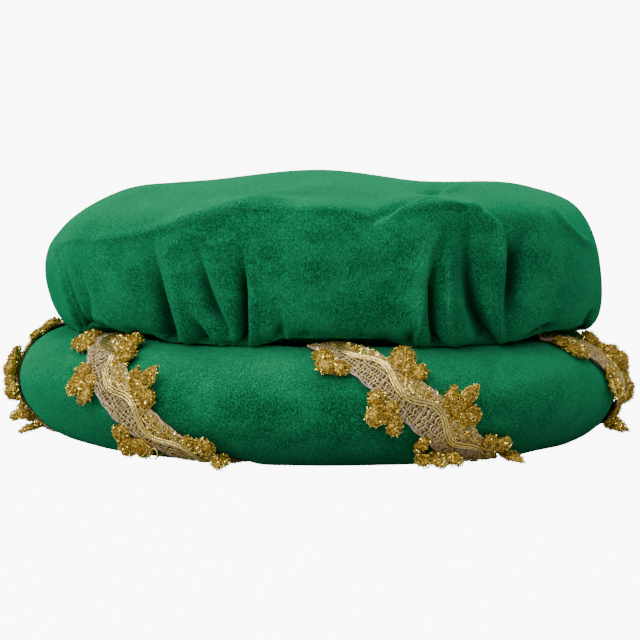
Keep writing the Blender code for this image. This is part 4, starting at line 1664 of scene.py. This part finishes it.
    def flowers(self) -> list[Object]:
        """The petals with their rims, and the looped thread between them, covered with curls."""
        rims = ThreadLines(self.rim_radius, 4, self.finishes.gold)
        parts = []
        for section, side, petals in self.motifs():
            motif = MotifFrame(self.braid, self.number, section, side)
            for petal in petals:
                *part, rim = self.petal(motif, petal)
                parts.append(part)
                if petal.rim:
                    rims.add(rim)
        if self.number == self.loose_loop.wrap:
            rims.add(self.loose_loop.line(self.braid))
        parts.append(self.looped_edge())
        points, corners, shares = zip(*parts)
        faces, start = [], 0
        for part, part_faces in zip(points, corners):
            faces += [tuple(start + i for i in face) for face in part_faces]
            start += len(part)
        obj = new_object(f"braid_petals_{self.number + 1}", np.concatenate(points), faces)
        obj.data.materials.append(self.finishes.pad)
        obj.data.shade_smooth()
        set_attribute(obj, "curl_share", np.concatenate(shares))
        self.curls.grow(
            obj,
            {
                "Density": self.curl_density,
                "Curl Radius": self.curl_radius,
                "Thread Radius": self.curl_thread_radius,
                "Lean": self.curl_lean,
                "Seed": self.curl_seed + self.number,
                "Material": self.finishes.gold,
            },
        )
        return [obj, rims.build(f"braid_rims_{self.number + 1}", self.threads)]

    def motifs(self) -> list[tuple[float, int, tuple[Petal, ...]]]:
        """Section angle, side and petals of each of the wrap's motifs."""
        missing = MISSING_MOTIFS.get(self.number, ())
        shift = MOTIF_SHIFTS[self.number]
        kept = [motif for motif in MOTIFS if motif[:2] not in missing]
        moved = [(place + shift * (place > -20.0), side, petals) for place, side, petals in kept]
        return moved + list(EXTRA_MOTIFS.get(self.number, ()))

    def petal(self, motif: MotifFrame, petal: Petal) -> tuple[Array, list, Array, Array]:
        """One puffed petal.

        Args:
            motif: the motif's place.
            petal: the petal's sizes.

        Returns:
            Its points, its faces, each point's share of curls, and the line of its rim.
        """
        sides, rings = 16, 4
        angles = np.arange(sides) * 2 * math.pi / sides
        size = self.random.uniform(*self.petal_sizes)
        turn = math.radians(petal.turn + self.random.uniform(-self.petal_turn, self.petal_turn))
        edge_along, edge_across = (size * value for value in petal.outline(angles))
        full = petal.height * MM

        def placed(along: Array, across: Array, height: Array) -> Array:
            """Points of the petal by distance along and across it from its middle."""
            u = petal.along * MM + along * math.cos(turn) - across * math.sin(turn)
            v = petal.out * MM + along * math.sin(turn) + across * math.cos(turn)
            return motif.at(u, v, height)

        zero = np.zeros(1)
        layers = [placed(zero, zero, zero)]
        for share in (0.55, 0.96):
            layers.append(placed(edge_along * share, edge_across * share, np.zeros(sides)))
        for ring in range(rings):
            share = 1.0 - ring / rings
            dome = full * (self.petal_edge + (1 - self.petal_edge) * math.sqrt(1 - share**2))
            lumps = full * self.petal_lumps * self.random.uniform(-1, 1, sides)
            layers.append(placed(edge_along * share, edge_across * share, dome + lumps))
        layers.append(placed(zero, zero, zero + full))
        points = np.concatenate(layers)
        count = len(layers) - 2
        faces = grid_faces(count, sides, 1)
        last = 1 + (count - 1) * sides
        for i in range(sides):
            j = (i + 1) % sides
            faces.append((0, 1 + j, 1 + i))
            faces.append((last + i, last + j, len(points) - 1))
        if motif.side < 0:
            faces = [face[::-1] for face in faces]
        shares = np.ones(len(points))
        shares[: 1 + sides] = 0.0
        around_edge = np.concatenate([angles, angles[:1]])
        rim_along, rim_across = (size * value for value in petal.outline(around_edge))
        rim = placed(rim_along, rim_across, np.full(len(rim_along), full * self.rim_height))
        return points, faces, shares, rim

    def looped_edge(self) -> tuple[Array, list, Array]:
        """Strip of looped gold thread between the gimp and the band's uphill edge.

        Returns:
            Its points, its faces and each point's share of curls.
        """
        rows, columns = 90, 4
        half = self.braid.width / 2
        along = np.linspace(0.0, self.length, rows)
        start = np.minimum(self.gimp_across(along) + 0.0020, half - 0.0016)
        across = start[:, None] + (half - 0.0002 - start)[:, None] * np.linspace(0, 1, columns)
        low = self.ground_thickness
        points, faces = self.strip(along, across, low, low + self.loops_height)
        share = np.repeat([0.0, self.loops_share], columns)
        return points, faces, np.tile(share, rows)


# Studio


@dataclass
class Studio:
    """Plain pale floor that turns up into a backdrop all round, and soft light."""

    view: PhotoView
    floor_radius: float = 3.0
    bend: float = 1.0
    wall: float = 1.0
    sides: int = 96
    floor_base: float = 0.42
    floor_glow: float = 9.0
    world_light: float = 0.20
    glint_size: float = 0.18
    glint_power: float = 4.8
    # name, place, side in metres and power in watts of each large light
    softboxes: tuple[tuple[str, Color, float, float], ...] = (
        ("key", (-1.1, -1.4, 1.5), 1.0, 21.0),
        ("fill", (1.7, -1.4, 0.8), 0.8, 0.3),
        ("top", (-0.1, 0.1, 1.9), 1.1, 28.0),
    )
    glints: tuple[Color, ...] = (
        (-1.7, -1.0, 0.5),
        (-0.2, -1.9, 0.7),
        (0.5, -1.6, 1.4),
        (-0.8, -1.7, 1.0),
        (-1.3, -0.5, 1.4),
        (1.4, 0.0, 1.5),
    )

    def build(self) -> None:
        """Makes the floor, the lights and the camera."""
        self.floor()
        self.world()
        for light in self.softboxes:
            self.softbox(*light)
        for number, place in enumerate(self.glints):
            self.softbox(f"glint_{number + 1}", place, self.glint_size, self.glint_power)
        bpy.context.scene.camera = self.view.camera()

    def floor(self) -> None:
        """Makes the floor and its backdrop as one turned surface."""
        profile = [(0.0, 0.0), (0.5, 0.0), (self.floor_radius, 0.0)]
        for step in range(1, 9):
            turn = math.pi / 2 * step / 8
            profile.append(
                (self.floor_radius + self.bend * math.sin(turn), self.bend * (1 - math.cos(turn)))
            )
        profile.append((self.floor_radius + self.bend, self.bend + self.wall))
        directions = np.arange(self.sides) * 360.0 / self.sides
        rings = [around(directions, np.array(r), np.array(z)) for r, z in profile[1:]]
        points = np.concatenate([np.zeros((1, 3)), *rings])
        faces = [face[::-1] for face in grid_faces(len(rings), self.sides, 1)]
        faces += [(0, 1 + i, 1 + (i + 1) % self.sides) for i in range(self.sides)]
        obj = new_object("floor", points, faces)
        obj.data.materials.append(self.floor_material())
        obj.data.shade_smooth()

    def floor_material(self) -> Material:
        """Matt white that the camera sees as brightly lit as a white studio sweep."""
        shader = Shader("pale_floor")
        ray = shader.node("ShaderNodeLightPath")
        glow = shader.node(
            "ShaderNodeMath", {0: ray.outputs["Is Camera Ray"], 1: self.floor_glow}, operation="MULTIPLY"
        )
        shader.set(
            Base_Color=(*[self.floor_base] * 3, 1.0),
            Roughness=0.95,
            Emission_Color=(1.0, 1.0, 1.0, 1.0),
            Emission_Strength=glow.outputs[0],
        )
        return shader.material

    def world(self) -> None:
        """Sets soft even light from all round."""
        world = bpy.data.worlds.new("soft_light")
        world.use_nodes = True
        background = world.node_tree.nodes["Background"]
        background.inputs["Color"].default_value = (1.0, 1.0, 1.0, 1.0)
        background.inputs["Strength"].default_value = self.world_light
        bpy.context.scene.world = world

    def softbox(self, name: str, place: Color, size: float, power: float) -> None:
        """Adds a square soft light that faces the hat.

        Args:
            name: the light's name.
            place: where it stands.
            size: its side in metres.
            power: its power in watts.
        """
        data = bpy.data.lights.new(name, "AREA")
        data.size = size
        data.energy = power
        light = bpy.data.objects.new(name, data)
        bpy.context.scene.collection.objects.link(light)
        towards = Vector((0.0, 0.0, 0.06)) - Vector(place)
        light.location = place
        light.rotation_euler = towards.to_track_quat("-Z", "Y").to_euler()


def main() -> None:
    """Builds the hat's pieces in order, then the studio, and reports each piece."""
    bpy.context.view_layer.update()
    view, roll, braid = PhotoView(), RollForm(), BraidForm()
    finishes = Finishes()
    threads, curls = thread_tree(), curl_tree()
    pieces = [
        RollBrim(roll, braid, finishes).build(),
        Crown(roll, braid, view, finishes).build(),
    ]
    for number in range(len(braid.directions)):
        pieces.append(BraidWrap(braid, number, finishes, threads, curls).build())
    Studio(view).build()
    for piece in pieces:
        log.info("%s: %d faces", piece.name, len(piece.data.polygons))
    bpy.context.view_layer.update()


if __name__ == "__main__":
    logging.basicConfig(level=logging.INFO)
    main()
